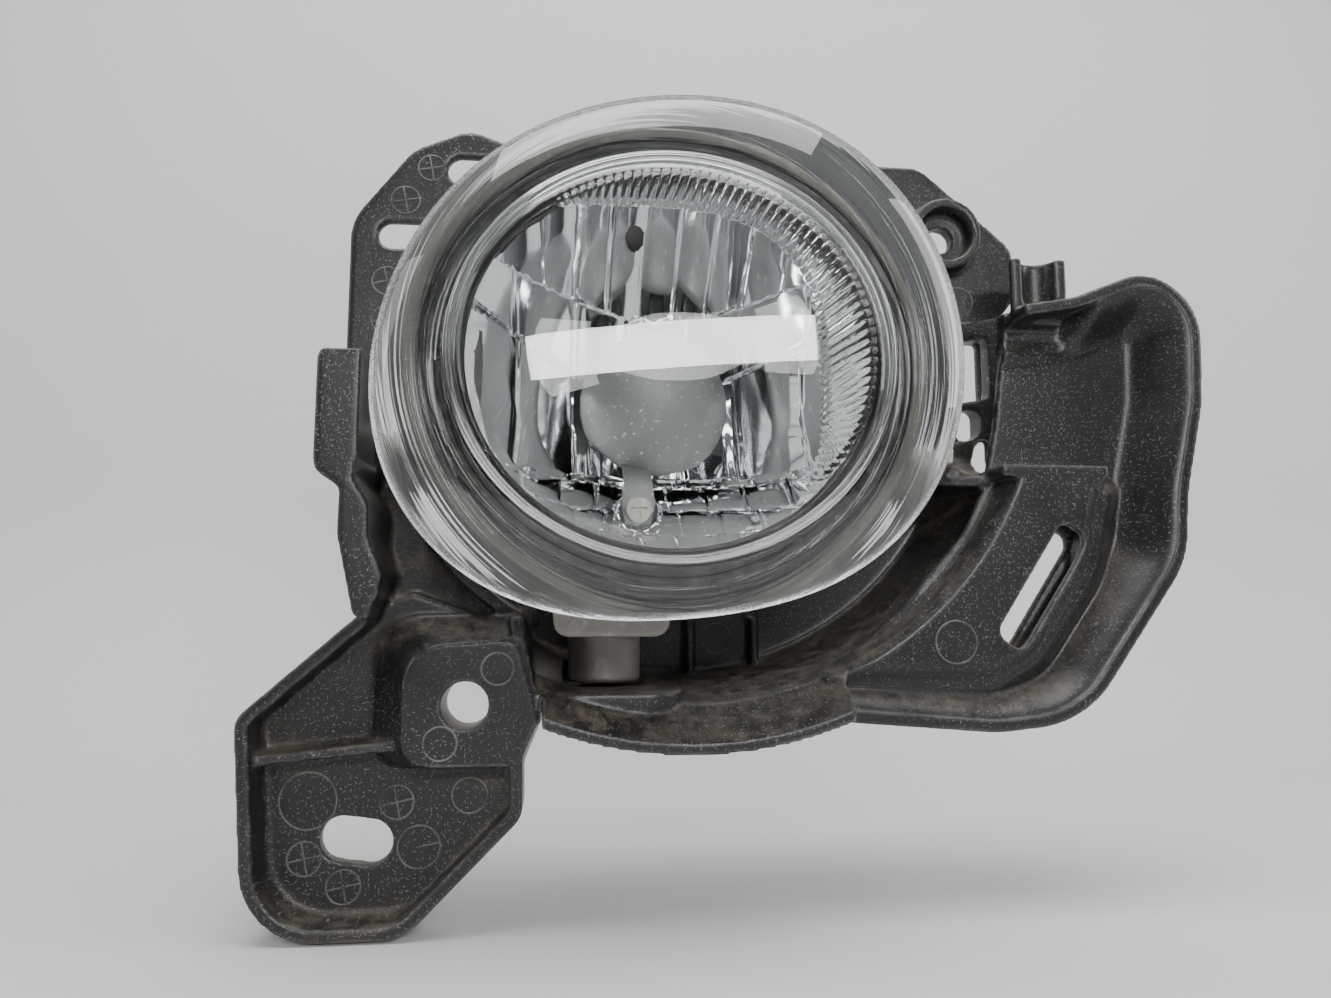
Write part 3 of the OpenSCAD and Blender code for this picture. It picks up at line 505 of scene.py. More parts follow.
def clear_tube():
    """Hard glass of the bulb, faintly uneven."""
    n = Nodes("bulb_glass")
    uneven = n.ramp(n.noise(200, 3), (0.3, 0.0), (0.8, 1.0))
    n.set(Base_Color=n.mix(uneven, (0.98, 0.99, 0.99), (0.94, 0.95, 0.96)),
          Transmission_Weight=1.0, Roughness=n.ramp(n.noise(300, 3), (0.4, 0.0), (0.9, 0.06)))
    n.shader.inputs["IOR"].default_value = 1.47
    return n.material


# ---------- pieces ----------
# share of the dome's radius, and how far its ring has turned from an ellipse to the free outline
FRONT_STEPS = ((0.0, 0.0), (0.4, 0.0), (0.58, 0.05), (0.72, 0.2), (0.83, 0.45), (0.91, 0.75),
               (0.965, 0.95), (1.0, 1.0))
# half axes of the leg, and how much wider the dome's ellipse is
LEG_RX, LEG_RZ, DOME_WIDER = 46.5, 43.0, 6
# the rim's rounded back: distance behind the rim, and inwards from the outline
RIM_BACK = ((0.8, 0.1), (2.2, 0.2), (3.6, 0.6), (4.4, 1.3), (4.9, 2.4))
# the leg: distance behind the rim, and outwards from the leg's ellipse
LEG_STEPS = ((6.2, 0.2), (7.0, 0.0), (11.0, 0.0), (15.3, 0.0), (15.5, -0.4), (15.5, -2.4),
             (15.2, -2.8))
# the inner wall: distance inwards from the leg's ellipse, and behind the rim
INNER_STEPS = ((2.9, 8.0), (3.0, 4.0), (3.2, 1.5), (3.6, 0.4), (4.4, -0.9), (6.0, -1.9),
               (8.0, -2.5))
# the flutes' common point, and the centre and half sides of the clear rounded square
FLUTE_X, FLUTE_Z = 21.0, 38.0
CLEAR_X, CLEAR_Z, CLEAR_HALF_X, CLEAR_HALF_Z = 31.0, 62.0, 36.5, 33.0


def lens_surface():
    """Glass as rings round the axis: the dome, over the rim, down the leg and up to the inner pole.

    A ring at share s of the dome lies at y = rim - rise + 3 s^2 + 5 s^9, its radius s times a mix
    of an ellipse and the free outline. The inner face is an ellipse whose depth follows a short
    table, raised by flutes: ridges of a half sine in the angle about a point low on the left.
    """
    turns = 1440
    angle = np.linspace(0, 2 * math.pi, turns, endpoint=False)
    outline = rim_radius(angle)
    rings = []
    for s in np.concatenate([[0.004], np.linspace(0.05, 0.8, 16), np.linspace(0.82, 1.0, 22)]):
        share = np.interp(s, *zip(*FRONT_STEPS))
        ellipse = oval_radius(angle, LEG_RX + DOME_WIDER, LEG_RZ + DOME_WIDER)
        r = s * (ellipse * (1 - share) + outline * share)
        rings.append((r, np.full(turns, RIM_Y - DOME_RISE + 3 * s * s + 5 * s ** 9)))
    for drop, pull in RIM_BACK:
        rings.append((outline - pull, np.full(turns, RIM_Y + drop)))
    leg = oval_radius(angle, LEG_RX, LEG_RZ)
    for t in (0.25, 0.5, 0.75):
        shoulder = (outline - 2.4) * (1 - t) + (leg + 0.8) * t
        rings.append((shoulder, np.full(turns, RIM_Y + 5.0 + 1.0 * t)))
    for y, grow in LEG_STEPS:
        rings.append((leg + grow, np.full(turns, RIM_Y + y)))
    for pull, y in INNER_STEPS:
        rings.append((leg - pull, np.full(turns, RIM_Y + y)))
    for pull in np.linspace(8.4, 30.0, 44):
        y = RIM_Y + np.interp(pull, (8.0, 14.0, 20.0, 43.0), (-2.5, -3.2, -3.6, -4.0))
        r = leg - pull
        x, z = AXIS_X + r * np.cos(angle), AXIS_Z + r * np.sin(angle)
        rings.append((r, np.full(turns, y) - flute_height(x, z, pull)))
    for pull in (34.0, 38.0, 41.0, 42.9):
        rings.append((leg - pull, np.full(turns, RIM_Y - 3.95)))
    r = np.array([q[0] for q in rings])
    y = np.array([q[1] for q in rings])
    points = np.stack([AXIS_X + r * np.cos(angle), y, AXIS_Z + r * np.sin(angle)], -1)
    points = points.reshape(-1, 3)
    faces = grid_faces(len(rings), turns, wrap_cols=True).tolist()
    faces += [list(range(turns)), list(range(len(points) - turns, len(points)))]
    return points, faces


def flute_height(x, z, pull):
    """Flutes in a crescent: inside the disc's edge and outside a rounded square set to the left."""
    phase = np.arctan2(z - FLUTE_Z, x - FLUTE_X) * sizes().flute_count / 2
    ridge = np.abs(np.sin(phase)) ** 0.7
    u, v = np.abs((x - CLEAR_X) / CLEAR_HALF_X), np.abs((z - CLEAR_Z) / CLEAR_HALF_Z)
    outside = smooth_step((u ** 3 + v ** 3) ** (1 / 3), 0.985, 1.03)
    return sizes().flute_depth_mm * ridge * outside * smooth_step(pull, 8.2, 9.4)


class FOGLAMP_OT_lens(bpy.types.Operator):
    """Clear lens with its domed front, ground rim, leg and fluted crescent"""

    bl_idname = "foglamp.lens"
    bl_label = "Lens"

    def execute(self, context):
        points, faces = lens_surface()
        ob = new_object("lens_glass_body", points, faces)
        mesh = ob.data
        co = np.zeros(len(mesh.vertices) * 3, np.float32)
        mesh.vertices.foreach_get("co", co)
        co = co.reshape(-1, 3) / MM
        angle = np.arctan2(co[:, 2] - AXIS_Z, co[:, 0] - AXIS_X)
        share = np.hypot(co[:, 2] - AXIS_Z, co[:, 0] - AXIS_X) / rim_radius(angle)
        ground = smooth_step(share, 0.965, 0.985) * (co[:, 1] < RIM_Y + 5.2)
        # the misted band behind the rim: turned and dull, and also tinted darker in the glass as
        # painted shade
        misted_and_shaded = smooth_step(co[:, 1], RIM_Y + 0.6, RIM_Y + 4.0) * (share > 0.78)
        for label, values in (("ground", ground), ("misted_and_shaded", misted_and_shaded)):
            layer = mesh.attributes.new(label, "FLOAT", "POINT")
            layer.data.foreach_set("value", values.astype(np.float32))
        sharpen(ob, 40)
        place(ob, "lamp", "lens_glass", lens_glass(), "lens")
        return {"FINISHED"}


class FOGLAMP_OT_reflector(bpy.types.Operator):
    """Faceted mirror bowl behind the lens"""

    bl_idname = "foglamp.reflector"
    bl_label = "Reflector"

    def execute(self, context):
        ob = mirror_bowl()
        place(ob, "lamp", "reflector_metal", mirror(), "reflector")
        return {"FINISHED"}


# half axes of the bowl where its depth is nought, half axes it is cut at, depth, and bulb hole
BOWL_RX, BOWL_RZ, MOUTH_RX, MOUTH_RZ = 41.0, 37.8, 41.6, 38.3
BOWL_DEPTH, BULB_HOLE_R = 36.0, 10.6


def bowl_depth(x, z):
    """Mirror surface: a parabola of the oval radius, with columns above, a band and blocks below.

    The zones blend over about a millimetre. Each column is a shallow bulge turned a little from
    its neighbours; the lower blocks are pillows in rows; the shield's foot has a small flat.
    """
    mouth_y = REFLECTOR_LOW[1]
    s = np.hypot((x - AXIS_X) / BOWL_RX, (z - AXIS_Z) / BOWL_RZ)
    base = mouth_y + BOWL_DEPTH * (1 - s ** 2) - 1.0
    u, v = x - AXIS_X, z - AXIS_Z
    upper = smooth_step(v - 17.5 - 0.1 * np.abs(u), -0.5, 0.5)
    lower = smooth_step(-v - 19.5, -0.5, 0.5)

    def columns(width, shift, bulge, turn, seed):
        k = np.floor((u + shift) / width)
        t = (u + shift) / width - k - 0.5
        edge = 1 - smooth_step(np.abs(t), 0.42, 0.5)
        return bulge * (1 - (2 * t) ** 2) + turn * np.sin(k * 2.4 + seed) * t * 2 * edge

    row_height = 6.5
    row = np.floor((v + 60) / row_height)
    across = (v + 60) / row_height - row - 0.5
    blocks = columns(8.0, 4.0 + 2.0 * (row % 2), 0.55, 0.8, 0.9) + 0.5 * (1 - (2 * across) ** 2)
    blocks = blocks + 0.5 * np.sin(row * 2.1) * across * (1 - smooth_step(np.abs(across), 0.4, 0.5))
    high = columns(7.4, 3.7, 0.8, 1.0, 0.3)
    centre = columns(12.5, 6.2, 1.1, 0.7, 1.9)
    wedge = smooth_step(v - 0.3 * np.abs(u), -0.6, 0.6) - 0.5
    wedge = smooth_step(np.abs(u), 15, 18) * wedge * 1.6
    relief = upper * (high - 1.6) + lower * (blocks - 0.9)
    y = base - (relief + (1 - upper) * (1 - lower) * (centre + wedge))
    foot = smooth_step(np.hypot(x - FOOT_X, z - FOOT_Z), 4.2, 5.4)
    return FOOT_Y * (1 - foot) + y * foot


def mirror_bowl():
    """A grid over the mouth's oval, cut at the oval and at the bulb hole."""
    step = sizes().mirror_grid_mm
    xs = np.arange(AXIS_X - 42, AXIS_X + 42 + step, step)
    zs = np.arange(AXIS_Z - 39, AXIS_Z + 39 + step, step)
    X, Z = np.meshgrid(xs, zs)
    s = np.hypot((X - AXIS_X) / MOUTH_RX, (Z - AXIS_Z) / MOUTH_RZ)
    hole = np.hypot(X - AXIS_X, Z - AXIS_Z)
    pull = np.where((s > 1) & (s < 1.02), 1 / np.maximum(s, 1e-6), 1)
    X = AXIS_X + (X - AXIS_X) * pull
    Z = AXIS_Z + (Z - AXIS_Z) * pull
    vent = np.hypot(X - VENT_X, Z - VENT_Z) < VENT_R
    inside = (s < 1.02) & (hole > BULB_HOLE_R) & ~vent
    Y = bowl_depth(X, Z)
    points = np.stack([X, Y, Z], -1).reshape(-1, 3)
    faces = grid_faces(*X.shape)
    keep = inside.reshape(-1)[faces].all(1)
    faces = faces[keep]
    used = np.unique(faces)
    lookup = np.full(len(points), -1)
    lookup[used] = np.arange(len(used))
    ob = new_object("reflector_mirror", points[used], lookup[faces])
    if ob.data.polygons[0].normal.y > 0:
        ob.data.flip_normals()
    sharpen(ob, 16)
    return ob


class FOGLAMP_OT_shield(bpy.types.Operator):
    """Domed glare shield with its folded leg"""

    bl_idname = "foglamp.shield"
    bl_label = "Glare shield"

    def execute(self, context):
        low, high = SHIELD_LOW, SHIELD_HIGH
        radius = (high[0] - low[0]) / 2
        cx, cz = (low[0] + high[0]) / 2, high[2] - radius
        curve, wall = 19.0, 0.9
        rings, turns = [], 128
        edge = math.asin(radius / curve)
        angle = np.linspace(0, 2 * math.pi, turns, endpoint=False)
        for a in np.linspace(0.002, edge, 36):
            rings.append((curve * math.sin(a), low[1] + curve * (1 - math.cos(a))))
        rim_y = rings[-1][1]
        for pull, y in ((0.0, 0.8), (0.2, 1.2), (0.7, 1.2), (wall, wall)):
            rings.append((radius - pull, rim_y + y))
        inner = curve - wall
        for a in np.linspace(edge - 0.05, 0.002, 20):
            rings.append((inner * math.sin(a), low[1] + curve - inner * math.cos(a)))
        r = np.array([q[0] for q in rings])[:, None]
        y = np.array([q[1] for q in rings])[:, None]
        points = np.stack([cx + r * np.cos(angle), y + 0 * angle, cz + r * np.sin(angle)], -1)
        points = points.reshape(-1, 3)
        faces = grid_faces(len(rings), turns, wrap_cols=True).tolist()
        faces += [list(range(turns)), list(range(len(points) - turns, len(points)))]
        dome = new_object("glare_shield_dome", points, faces)
        sharpen(dome, 40)
        place(dome, "lamp", "shield_grey", matte_paint(), "bulb_shield")
        leg = shield_leg()
        place(leg, "lamp", "shield_grey", dome.data.materials[0])
        return {"FINISHED"}


def shield_leg():
    """A strip swept along a folded path: foot on the mirror, rise, then back to the dome's rim."""
    on_foot = FOOT_Y - 0.5
    flat = [[on_foot, FOOT_Z - 2.6], [on_foot, FOOT_Z + 1.5], [on_foot, FOOT_Z + 5.0]]
    rise = [[FOOT_Y + 0.4, FOOT_Z + 6.4], [10.9, FOOT_Z + 9.6], [11.5, FOOT_Z + 10.6]]
    path = np.array(flat + rise)
    half_width = np.array([2.6, 3.6, 3.2, 3.0, 3.0, 3.0])
    tangent = np.gradient(path, axis=0)
    tangent /= np.linalg.norm(tangent, axis=1)[:, None]
    normal = np.stack([-tangent[:, 1], tangent[:, 0]], -1)
    section = []
    for side, depth in ((-1, -0.4), (1, -0.4), (1, 0.4), (-1, 0.4)):
        yz = path + normal * depth
        section.append(np.stack([FOOT_X + side * half_width, yz[:, 0], yz[:, 1]], -1))
    points = np.stack(section, 1).reshape(-1, 3)
    faces = grid_faces(len(path), 4, wrap_cols=True).tolist()
    faces += [[0, 1, 2, 3], [len(points) - 4 + i for i in (3, 2, 1, 0)]]
    ob = new_object("glare_shield_leg", points, faces)
    bevel = ob.modifiers.new("soft_edges", "BEVEL")
    bevel.width = 0.0002
    bevel.segments = 2
    return ob


def softened_mesh(node, grid_mm, rounds):
    """A CAD node's surface laid again on an even grid and relaxed, which rounds its edges.

    Returns the points in millimetres and the quads, each as an array.
    """
    bm = bmesh.new()
    bm.from_mesh(frame["nodes"][node].data)
    bmesh.ops.remove_doubles(bm, verts=bm.verts, dist=2e-6)
    mesh = bpy.data.meshes.new("softening")
    bm.to_mesh(mesh)
    bm.free()
    ob = bpy.data.objects.new("softening", mesh)
    bpy.context.scene.collection.objects.link(ob)
    laid = ob.modifiers.new("even_grid", "REMESH")
    laid.mode = "VOXEL"
    laid.voxel_size = grid_mm * MM
    relaxed = ob.modifiers.new("relaxed", "SMOOTH")
    relaxed.factor = 0.5
    relaxed.iterations = rounds
    bpy.context.view_layer.update()
    done = ob.evaluated_get(bpy.context.evaluated_depsgraph_get()).to_mesh()
    points = np.zeros(len(done.vertices) * 3, np.float32)
    done.vertices.foreach_get("co", points)
    corners = np.zeros(len(done.loops), np.int32)
    done.loops.foreach_get("vertex_index", corners)
    counts = np.zeros(len(done.polygons), np.int32)
    done.polygons.foreach_get("loop_total", counts)
    bpy.data.objects.remove(ob, do_unlink=True)
    if (counts != 4).any():
        raise RuntimeError("the even grid is expected to hold quads only")
    return points.reshape(-1, 3).astype(float) / MM, corners.reshape(-1, 4)


def mesh_object(name, points_mm, quads):
    """A smooth-shaded object from arrays of points in millimetres and quads."""
    used, faces = np.unique(quads, return_inverse=True)
    mesh = bpy.data.meshes.new(name)
    mesh.from_pydata((points_mm[used] * MM).tolist(), [], faces.reshape(-1, 4).tolist())
    mesh.polygons.foreach_set("use_smooth", np.full(len(mesh.polygons), True))
    ob = bpy.data.objects.new(name, mesh)
    bpy.context.scene.collection.objects.link(ob)
    return ob


def rounded_line(corners):
    """Points of an open line whose corners [x, z, radius] are rounded."""
    q = np.array(corners, float)
    line = [q[0, :2]]
    for a, p, b in zip(q[:-2], q[1:-1], q[2:]):
        u = (a - p)[:2] / np.linalg.norm((a - p)[:2])
        v = (b - p)[:2] / np.linalg.norm((b - p)[:2])
        half = math.acos(float(np.clip(u @ v, -1, 1))) / 2
        reach = p[2] / math.tan(half)
        centre = p[:2] + (u + v) / np.linalg.norm(u + v) * p[2] / math.sin(half)
        start, end = p[:2] + u * reach - centre, p[:2] + v * reach - centre
        first = math.atan2(start[1], start[0])
        turn = (math.atan2(end[1], end[0]) - first + math.pi) % (2 * math.pi) - math.pi
        for a in first + turn * np.linspace(0, 1, 9):
            line.append(centre + p[2] * np.array([math.cos(a), math.sin(a)]))
    line.append(q[-1, :2])
    return np.array(line)


def distance_to(line, x, z):
    """Least distance from points to a line of straight pieces."""
    best = np.full(x.shape, 1e9)
    for a, b in zip(line[:-1], line[1:]):
        d = b - a
        t = np.clip(((x - a[0]) * d[0] + (z - a[1]) * d[1]) / max(d @ d, 1e-9), 0, 1)
        best = np.minimum(best, np.hypot(x - a[0] - t * d[0], z - a[1] - t * d[1]))
    return best


def inside_of(loop, x, z):
    """Whether points lie inside a closed loop, by counting crossings."""
    odd = np.zeros(x.shape, bool)
    for a, b in zip(loop, np.roll(loop, -1, axis=0)):
        crosses = (a[1] > z) != (b[1] > z)
        odd ^= crosses & (x < (b[0] - a[0]) * (z - a[1]) / (b[1] - a[1] + 1e-12) + a[0])
    return odd


WING_EDGE = ((122, 87.5, 0), (134, 89.6, 12), (152.5, 97, 12), (164.5, 88, 14), (163.6, 66, 40),
             (158.8, 45, 40), (157.6, 30, 22), (132, -5.2, 24), (112, -7.2, 30), (79, -4.6, 0))
WING_INNER = ((80, 6), (96, 20), (110, 36), (117, 50), (119, 70))
PANEL_EDGE = ((75, 2.6, 0), (113, 2.6, 9), (123, 8, 12), (136.5, 27, 14), (141, 47, 0),
              (141, 51, 0))
WING_TOP_Y, WING_FLOOR_Y, PANEL_Y = 2.0, 12.0, 4.0
# how high the floor rises at the rim and at the panel, and how far from each it starts
RIM_RISE, RIM_REACH, PANEL_RISE, PANEL_REACH = 9.7, 13, 6.0, 8.5
# heights between which the rise at the panel dies out under the ledge
LEDGE_LOW, LEDGE_HIGH = 45, 49


def roll_wing(points):
    """Rolls the wing's floor up into its rim and into the raised panel.

    The depth falls by a smooth step of the distance to the rim or to the panel's edge, whichever
    is larger; points between the rim's top and the floor move by their share of that height.
    """
    x, y, z = points.T
    edge = rounded_line(WING_EDGE)
    panel = rounded_line(PANEL_EDGE)
    near = (x > 78) & (z < 100)
    in_wing = np.zeros(len(points), bool)
    in_wing[near] = inside_of(np.vstack([edge, WING_INNER]), x[near], z[near])
    near = in_wing & (y > WING_TOP_Y - 0.3) & (y < WING_FLOOR_Y + 3.2)
    px, py, pz = x[near], y[near], z[near]
    to_rim = distance_to(edge, px, pz)
    to_panel = distance_to(panel, px, pz)
    on_panel = inside_of(np.vstack([panel, [(100, 60), (60, 10)]]), px, pz)
    outside = np.where(on_panel, -to_panel, to_panel)
    away_from_hook = 1 - (1 - smooth_step(px, 134, 141)) * smooth_step(pz, 74, 82)
    near_rim = smooth_step(to_rim, 0.9, 2.7) * (1 - smooth_step(to_rim, 2.2, RIM_REACH))
    below_ledge = 1 - smooth_step(pz, LEDGE_LOW, LEDGE_HIGH)
    near_panel = smooth_step(outside, -2.6, -0.6) * (1 - smooth_step(outside, 0.0, PANEL_REACH))
    from_rim = np.clip((py - WING_TOP_Y) / (WING_FLOOR_Y - WING_TOP_Y), 0, 1)
    from_panel = np.clip((py - PANEL_Y) / (WING_FLOOR_Y - PANEL_Y), 0, 1)
    rise = RIM_RISE * near_rim * away_from_hook * from_rim
    step = PANEL_RISE * near_panel * below_ledge * from_panel
    lift = np.maximum(np.where(on_panel, 0.0, rise), step)
    sunk = 2.0 * (1 - smooth_step(-outside, 0.0, 5.0)) * (1 - from_panel)
    sunk = sunk * below_ledge * (outside < 1.5)
    moved = points.copy()
    moved[near, 1] = py - lift + sunk
    return moved


# the bracket's pieces and the x each runs from and to
BRACKET_PARTS = (("bracket_leg", -1e9, 16.0), ("bracket_trough", 16.0, 80.0),
                 ("bracket_wing", 80.0, 1e9))


class FOGLAMP_OT_bracket(bpy.types.Operator):
    """Moulded carrier bracket in three pieces, with rounded edges and a rolled wing"""

    bl_idname = "foglamp.bracket"
    bl_label = "Bracket"

    def execute(self, context):
        points, quads = softened_mesh("bracket", sizes().bracket_grid_mm, 3)
        points = roll_wing(points)
        middle = points[quads][:, :, 0].mean(1)
        finish = bracket_plastic()
        for name, low, high in BRACKET_PARTS:
            ob = mesh_object(name, points, quads[(middle >= low) & (middle < high)])
            place(ob, "carrier", "bracket_plastic", finish, "bracket")
        return {"FINISHED"}


MARK_HALF_WIDTH, MARK_HEIGHT = 0.19, 0.2
MARK_PLACES = (
    # x, depth of the surface, z, radius, spokes
    (-31.8, 10.0, -19.7, 5.7, 0), (0.6, 10.0, -19.2, 3.6, 0), (-32.1, 10.0, -31.1, 3.4, 4),
    (-24.2, 10.0, -36.8, 3.4, 4), (-14.1, 10.0, -20.3, 3.4, 4), (-9.4, 10.0, -29.3, 4.3, 1),
    (-4.6, 0.0, -7.4, 3.3, 0), (6.4, 0.0, 7.2, 3.2, 0), (-12.6, 23.0, 122.5, 3.1, 4),
    (-18.4, 23.0, 114.3, 3.3, 4), (-22.1, 23.0, 94.6, 3.3, 4), (-22.2, 23.0, 85.3, 3.1, 4),
    (115.5, 23.0, 94.5, 3.5, 0), (56.9, 38.0, 12.0, 3.6, 0), (104.0, 4.0, 12.0, 4.6, 0),
)


def bead(path, wide, high, closed):
    """A low round bead on a surface that faces -Y: a half-round section carried along a path."""
    path = np.asarray(path, float)
    if closed:
        ahead = np.roll(path, -1, axis=0) - np.roll(path, 1, axis=0)
    else:
        ahead = np.gradient(path, axis=0)
    ahead /= np.linalg.norm(ahead, axis=1)[:, None]
    side = np.stack([ahead[:, 2], 0 * ahead[:, 0], -ahead[:, 0]], -1)
    rows = []
    for a in np.linspace(0, math.pi, 7):
        rows.append(path + side * (wide * math.cos(a)) + np.array([0, -high * math.sin(a), 0]))
    rows.append(path + side * -wide + np.array([0, 0.3, 0]))
    rows.append(path + side * wide + np.array([0, 0.3, 0]))
    points = np.stack(rows, 1).reshape(-1, 3)
    faces = grid_faces(len(path), 9, wrap_rows=closed, wrap_cols=True).tolist()
    if not closed:
        faces += [list(range(9)), list(range(len(points) - 1, len(points) - 10, -1))]
    return points, faces


class FOGLAMP_OT_mould_marks(bpy.types.Operator):
    """Thin raised rings and crosses the mould leaves on the bracket"""

    bl_idname = "foglamp.mould_marks"
    bl_label = "Mould marks"

    def execute(self, context):
        points, faces = [], []
        for x, y, z, r, spokes in MARK_PLACES:
            a = np.linspace(0, 2 * math.pi, 48, endpoint=False)
            runs = [(np.stack([x + r * np.cos(a), y + 0 * a, z + r * np.sin(a)], -1), True)]
            for k in range(spokes):
                t = k * math.pi / 2 + 0.2
                far = (x + r * math.cos(t), y, z + r * math.sin(t))
                runs.append((np.linspace((x, y, z), far, 5), False))
            for path, closed in runs:
                p, f = bead(path, MARK_HALF_WIDTH, MARK_HEIGHT, closed)
                start = sum(len(q) for q in points)
                points.append(p)
                faces += [[i + start for i in q] for q in f]
        ob = new_object("bracket_mould_marks", np.vstack(points), faces)
        place(ob, "carrier", "bracket_plastic", bpy.data.materials["bracket_plastic"])
        return {"FINISHED"}


CASTING_GRID_MM = 0.62


class FOGLAMP_OT_casting(bpy.types.Operator):
    """Die-cast housing with rounded edges"""

    bl_idname = "foglamp.casting"
    bl_label = "Housing"

    def execute(self, context):
        points, quads = softened_mesh("housing", CASTING_GRID_MM, 2)
        ob = mesh_object("housing_casting", points, quads)
        place(ob, "lamp", "die_cast_aluminium", cast_metal(), "housing")
        return {"FINISHED"}


FINISHES = {
    "zinc_steel": lambda: plain_metal("zinc_plate", (0.62, 0.60, 0.54), 0.28),
    "spring_steel": lambda: plain_metal("bare_steel", (0.52, 0.53, 0.55), 0.3),
    "tungsten": lambda: plain_metal("drawn_wire", (0.42, 0.42, 0.43), 0.35),
    "brass_terminal": lambda: plain_metal("terminal_brass", (0.72, 0.58, 0.30), 0.25),
    "natural_nylon": lambda: moulded("natural_nylon", (0.66, 0.63, 0.54), 0.4),
    "sealant": lambda: moulded("sealant", (0.02, 0.02, 0.021), 0.5),
    "black_rubber": lambda: moulded("black_rubber", (0.02, 0.02, 0.021), 0.6),
    "filter_foam": lambda: moulded("filter_foam", (0.7, 0.7, 0.68), 0.8),
    "base_plastic": lambda: moulded("base_plastic", (0.022, 0.022, 0.024), 0.38),
    "seal_rubber": lambda: moulded("seal_rubber", (0.38, 0.11, 0.035), 0.45),
    "bulb_glass": clear_tube,
}


class FOGLAMP_OT_small_parts(bpy.types.Operator):
    """Finishes of the CAD nodes that are shown as they are"""

    bl_idname = "foglamp.small_parts"
    bl_label = "Small parts"

    def execute(self, context):
        made = {}
        for row in frame["record"]["subparts"]:
            node, slot = row["node"], row["material_slot"]
            if slot not in FINISHES or frame["nodes"][node].hide_render:
                continue
            if slot not in made:
                made[slot] = FINISHES[slot]()
            ob = frame["nodes"][node]
            for i in range(len(ob.material_slots)):
                ob.material_slots[i].material = made[slot]
        return {"FINISHED"}


CAMERA_PLACE, CAMERA_YAW, CAMERA_PITCH = (0.0187, -0.198, 0.0189), 6.22, 6.59
LIGHTS = (
    # name, place, point it faces, width, height, power in watts, roll in radians
    ("top_light", (0.04, -0.12, 0.62), (0.05, 0.0, 0.04), 0.6, 0.34, 4.6, 0.0),
    ("window_light", (0.10, -0.60, 0.228), (0.04, -0.03, 0.06), 0.38, 0.062, 2.6, 0.09),
    ("left_light", (-0.62, -0.20, 0.28), (0.04, 0.0, 0.05), 0.22, 0.5, 1.3, 0.0),
    ("right_light", (0.66, -0.12, 0.34), (0.08, 0.0, 0.05), 0.22, 0.5, 2.0, 0.0),
)


def studio_air():
    """A world that is dark below the horizon and a soft grey above it."""
    world = bpy.data.worlds.new("studio_air")
    world.use_nodes = True
    tree = world.node_tree
    coords = tree.nodes.new("ShaderNodeTexCoord")
    split = tree.nodes.new("ShaderNodeSeparateXYZ")
    ramp = tree.nodes.new("ShaderNodeValToRGB")
    tree.links.new(coords.outputs["Generated"], split.inputs[0])
    half = tree.nodes.new("ShaderNodeMath")
    half.operation = "MULTIPLY_ADD"
    half.inputs[1].default_value = 0.5
    half.inputs[2].default_value = 0.5
    tree.links.new(split.outputs["Z"], half.inputs[0])
    tree.links.new(half.outputs[0], ramp.inputs[0])
    elements = ramp.color_ramp.elements
    elements[0].position, elements[0].color = 0.48, (0.03, 0.03, 0.032, 1)
    elements[1].position, elements[1].color = 0.72, (0.62, 0.64, 0.67, 1)
    tree.links.new(ramp.outputs[0], tree.nodes["Background"].inputs[0])
    tree.nodes["Background"].inputs[1].default_value = 0.38
    return world


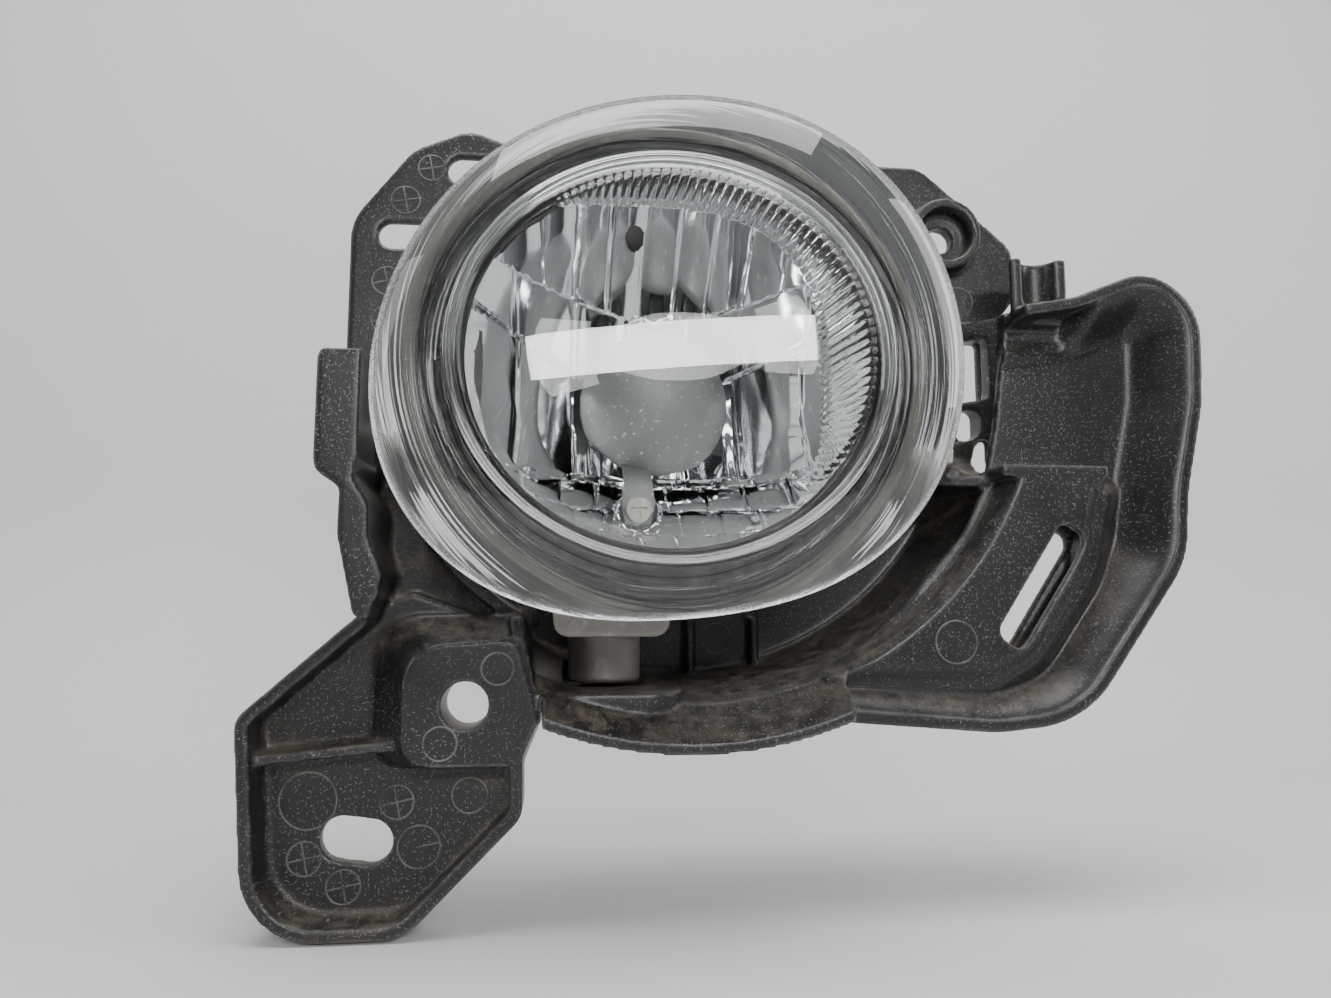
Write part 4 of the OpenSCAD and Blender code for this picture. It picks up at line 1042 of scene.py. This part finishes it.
class FOGLAMP_OT_stage(bpy.types.Operator):
    """Pale floor and wall, soft lights and the camera"""

    bl_idname = "foglamp.stage"
    bl_label = "Stage"

    def execute(self, context):
        scene = context.scene
        floor_z = CAD_BOX[0][2] - 0.0004
        n = Nodes("backdrop_paint")
        shade = tuple(colours().backdrop)
        cloudy = n.ramp(n.noise(6, 3), (0.3, 0.0), (0.7, 1.0))
        n.set(Base_Color=n.mix(cloudy, shade, tuple(0.97 * c for c in shade)), Roughness=0.8)
        # floor, a quarter turn from it, and the wall behind
        front, back, bend, top = -0.55, 0.16, 0.12, 1.3
        a = np.linspace(0.1, math.pi / 2, 16)
        depth = np.concatenate([[front, back], back + bend * np.sin(a), [back + bend]])
        height = np.concatenate([[0.0, 0.0], bend - bend * np.cos(a), [top]]) + floor_z
        xs = np.array([-1.4, 1.5])
        points = np.stack([np.repeat(xs, len(depth)), np.tile(depth, 2), np.tile(height, 2)], -1)
        ob = new_object("backdrop", points / MM, grid_faces(2, len(depth)))
        ob.data.materials.append(n.material)
        for row in LIGHTS:
            self.light(*row)
        scene.world = studio_air()
        camera = bpy.data.cameras.new("view_camera")
        camera.lens = 26.0
        camera.sensor_width = 36.0
        camera.clip_start = 0.01
        ob = bpy.data.objects.new("view_camera", camera)
        scene.collection.objects.link(ob)
        ob.location = CAMERA_PLACE
        yaw, pitch = math.radians(CAMERA_YAW), math.radians(CAMERA_PITCH)
        level = math.cos(pitch)
        ahead = Vector((math.sin(yaw) * level, math.cos(yaw) * level, math.sin(pitch)))
        ob.rotation_euler = ahead.to_track_quat("-Z", "Y").to_euler()
        scene.camera = ob
        return {"FINISHED"}

    def light(self, name, place_at, target, wide, tall, power, roll):
        data = bpy.data.lights.new(name, "AREA")
        data.shape = "RECTANGLE"
        data.size, data.size_y, data.energy = wide, tall, power
        ob = bpy.data.objects.new(name, data)
        ob.location = place_at
        facing = (Vector(target) - Vector(place_at)).to_track_quat("-Z", "Y")
        ob.rotation_euler = (facing @ Quaternion((0, 0, 1), roll)).to_euler()
        bpy.context.scene.collection.objects.link(ob)


class FOGLAMP_PT_panel(bpy.types.Panel):
    """Lists the sizes, colours and pieces"""

    bl_idname = "FOGLAMP_PT_panel"
    bl_label = "Fog Lamp"
    bl_space_type = "VIEW_3D"
    bl_region_type = "UI"
    bl_category = "Fog Lamp"

    def draw(self, context):
        for group in (sizes(), colours()):
            for name in type(group).__annotations__:
                self.layout.prop(group, name)
        for operator in OPERATORS:
            self.layout.operator(operator.bl_idname)


OPERATORS = (FOGLAMP_OT_stage, FOGLAMP_OT_lens, FOGLAMP_OT_reflector, FOGLAMP_OT_shield,
             FOGLAMP_OT_bracket, FOGLAMP_OT_mould_marks, FOGLAMP_OT_casting,
             FOGLAMP_OT_small_parts)
CLASSES = (FogLampSizes, FogLampColours, *OPERATORS, FOGLAMP_PT_panel)


def register():
    for cls in CLASSES:
        bpy.utils.register_class(cls)
    bpy.types.Scene.fog_lamp_sizes = PointerProperty(type=FogLampSizes)
    bpy.types.Scene.fog_lamp_colours = PointerProperty(type=FogLampColours)


def unregister():
    del bpy.types.Scene.fog_lamp_colours
    del bpy.types.Scene.fog_lamp_sizes
    for cls in reversed(CLASSES):
        bpy.utils.unregister_class(cls)


def main():
    register()
    for operator in OPERATORS:
        group, name = operator.bl_idname.split(".")
        getattr(getattr(bpy.ops, group), name)()


if __name__ == "__main__":
    main()
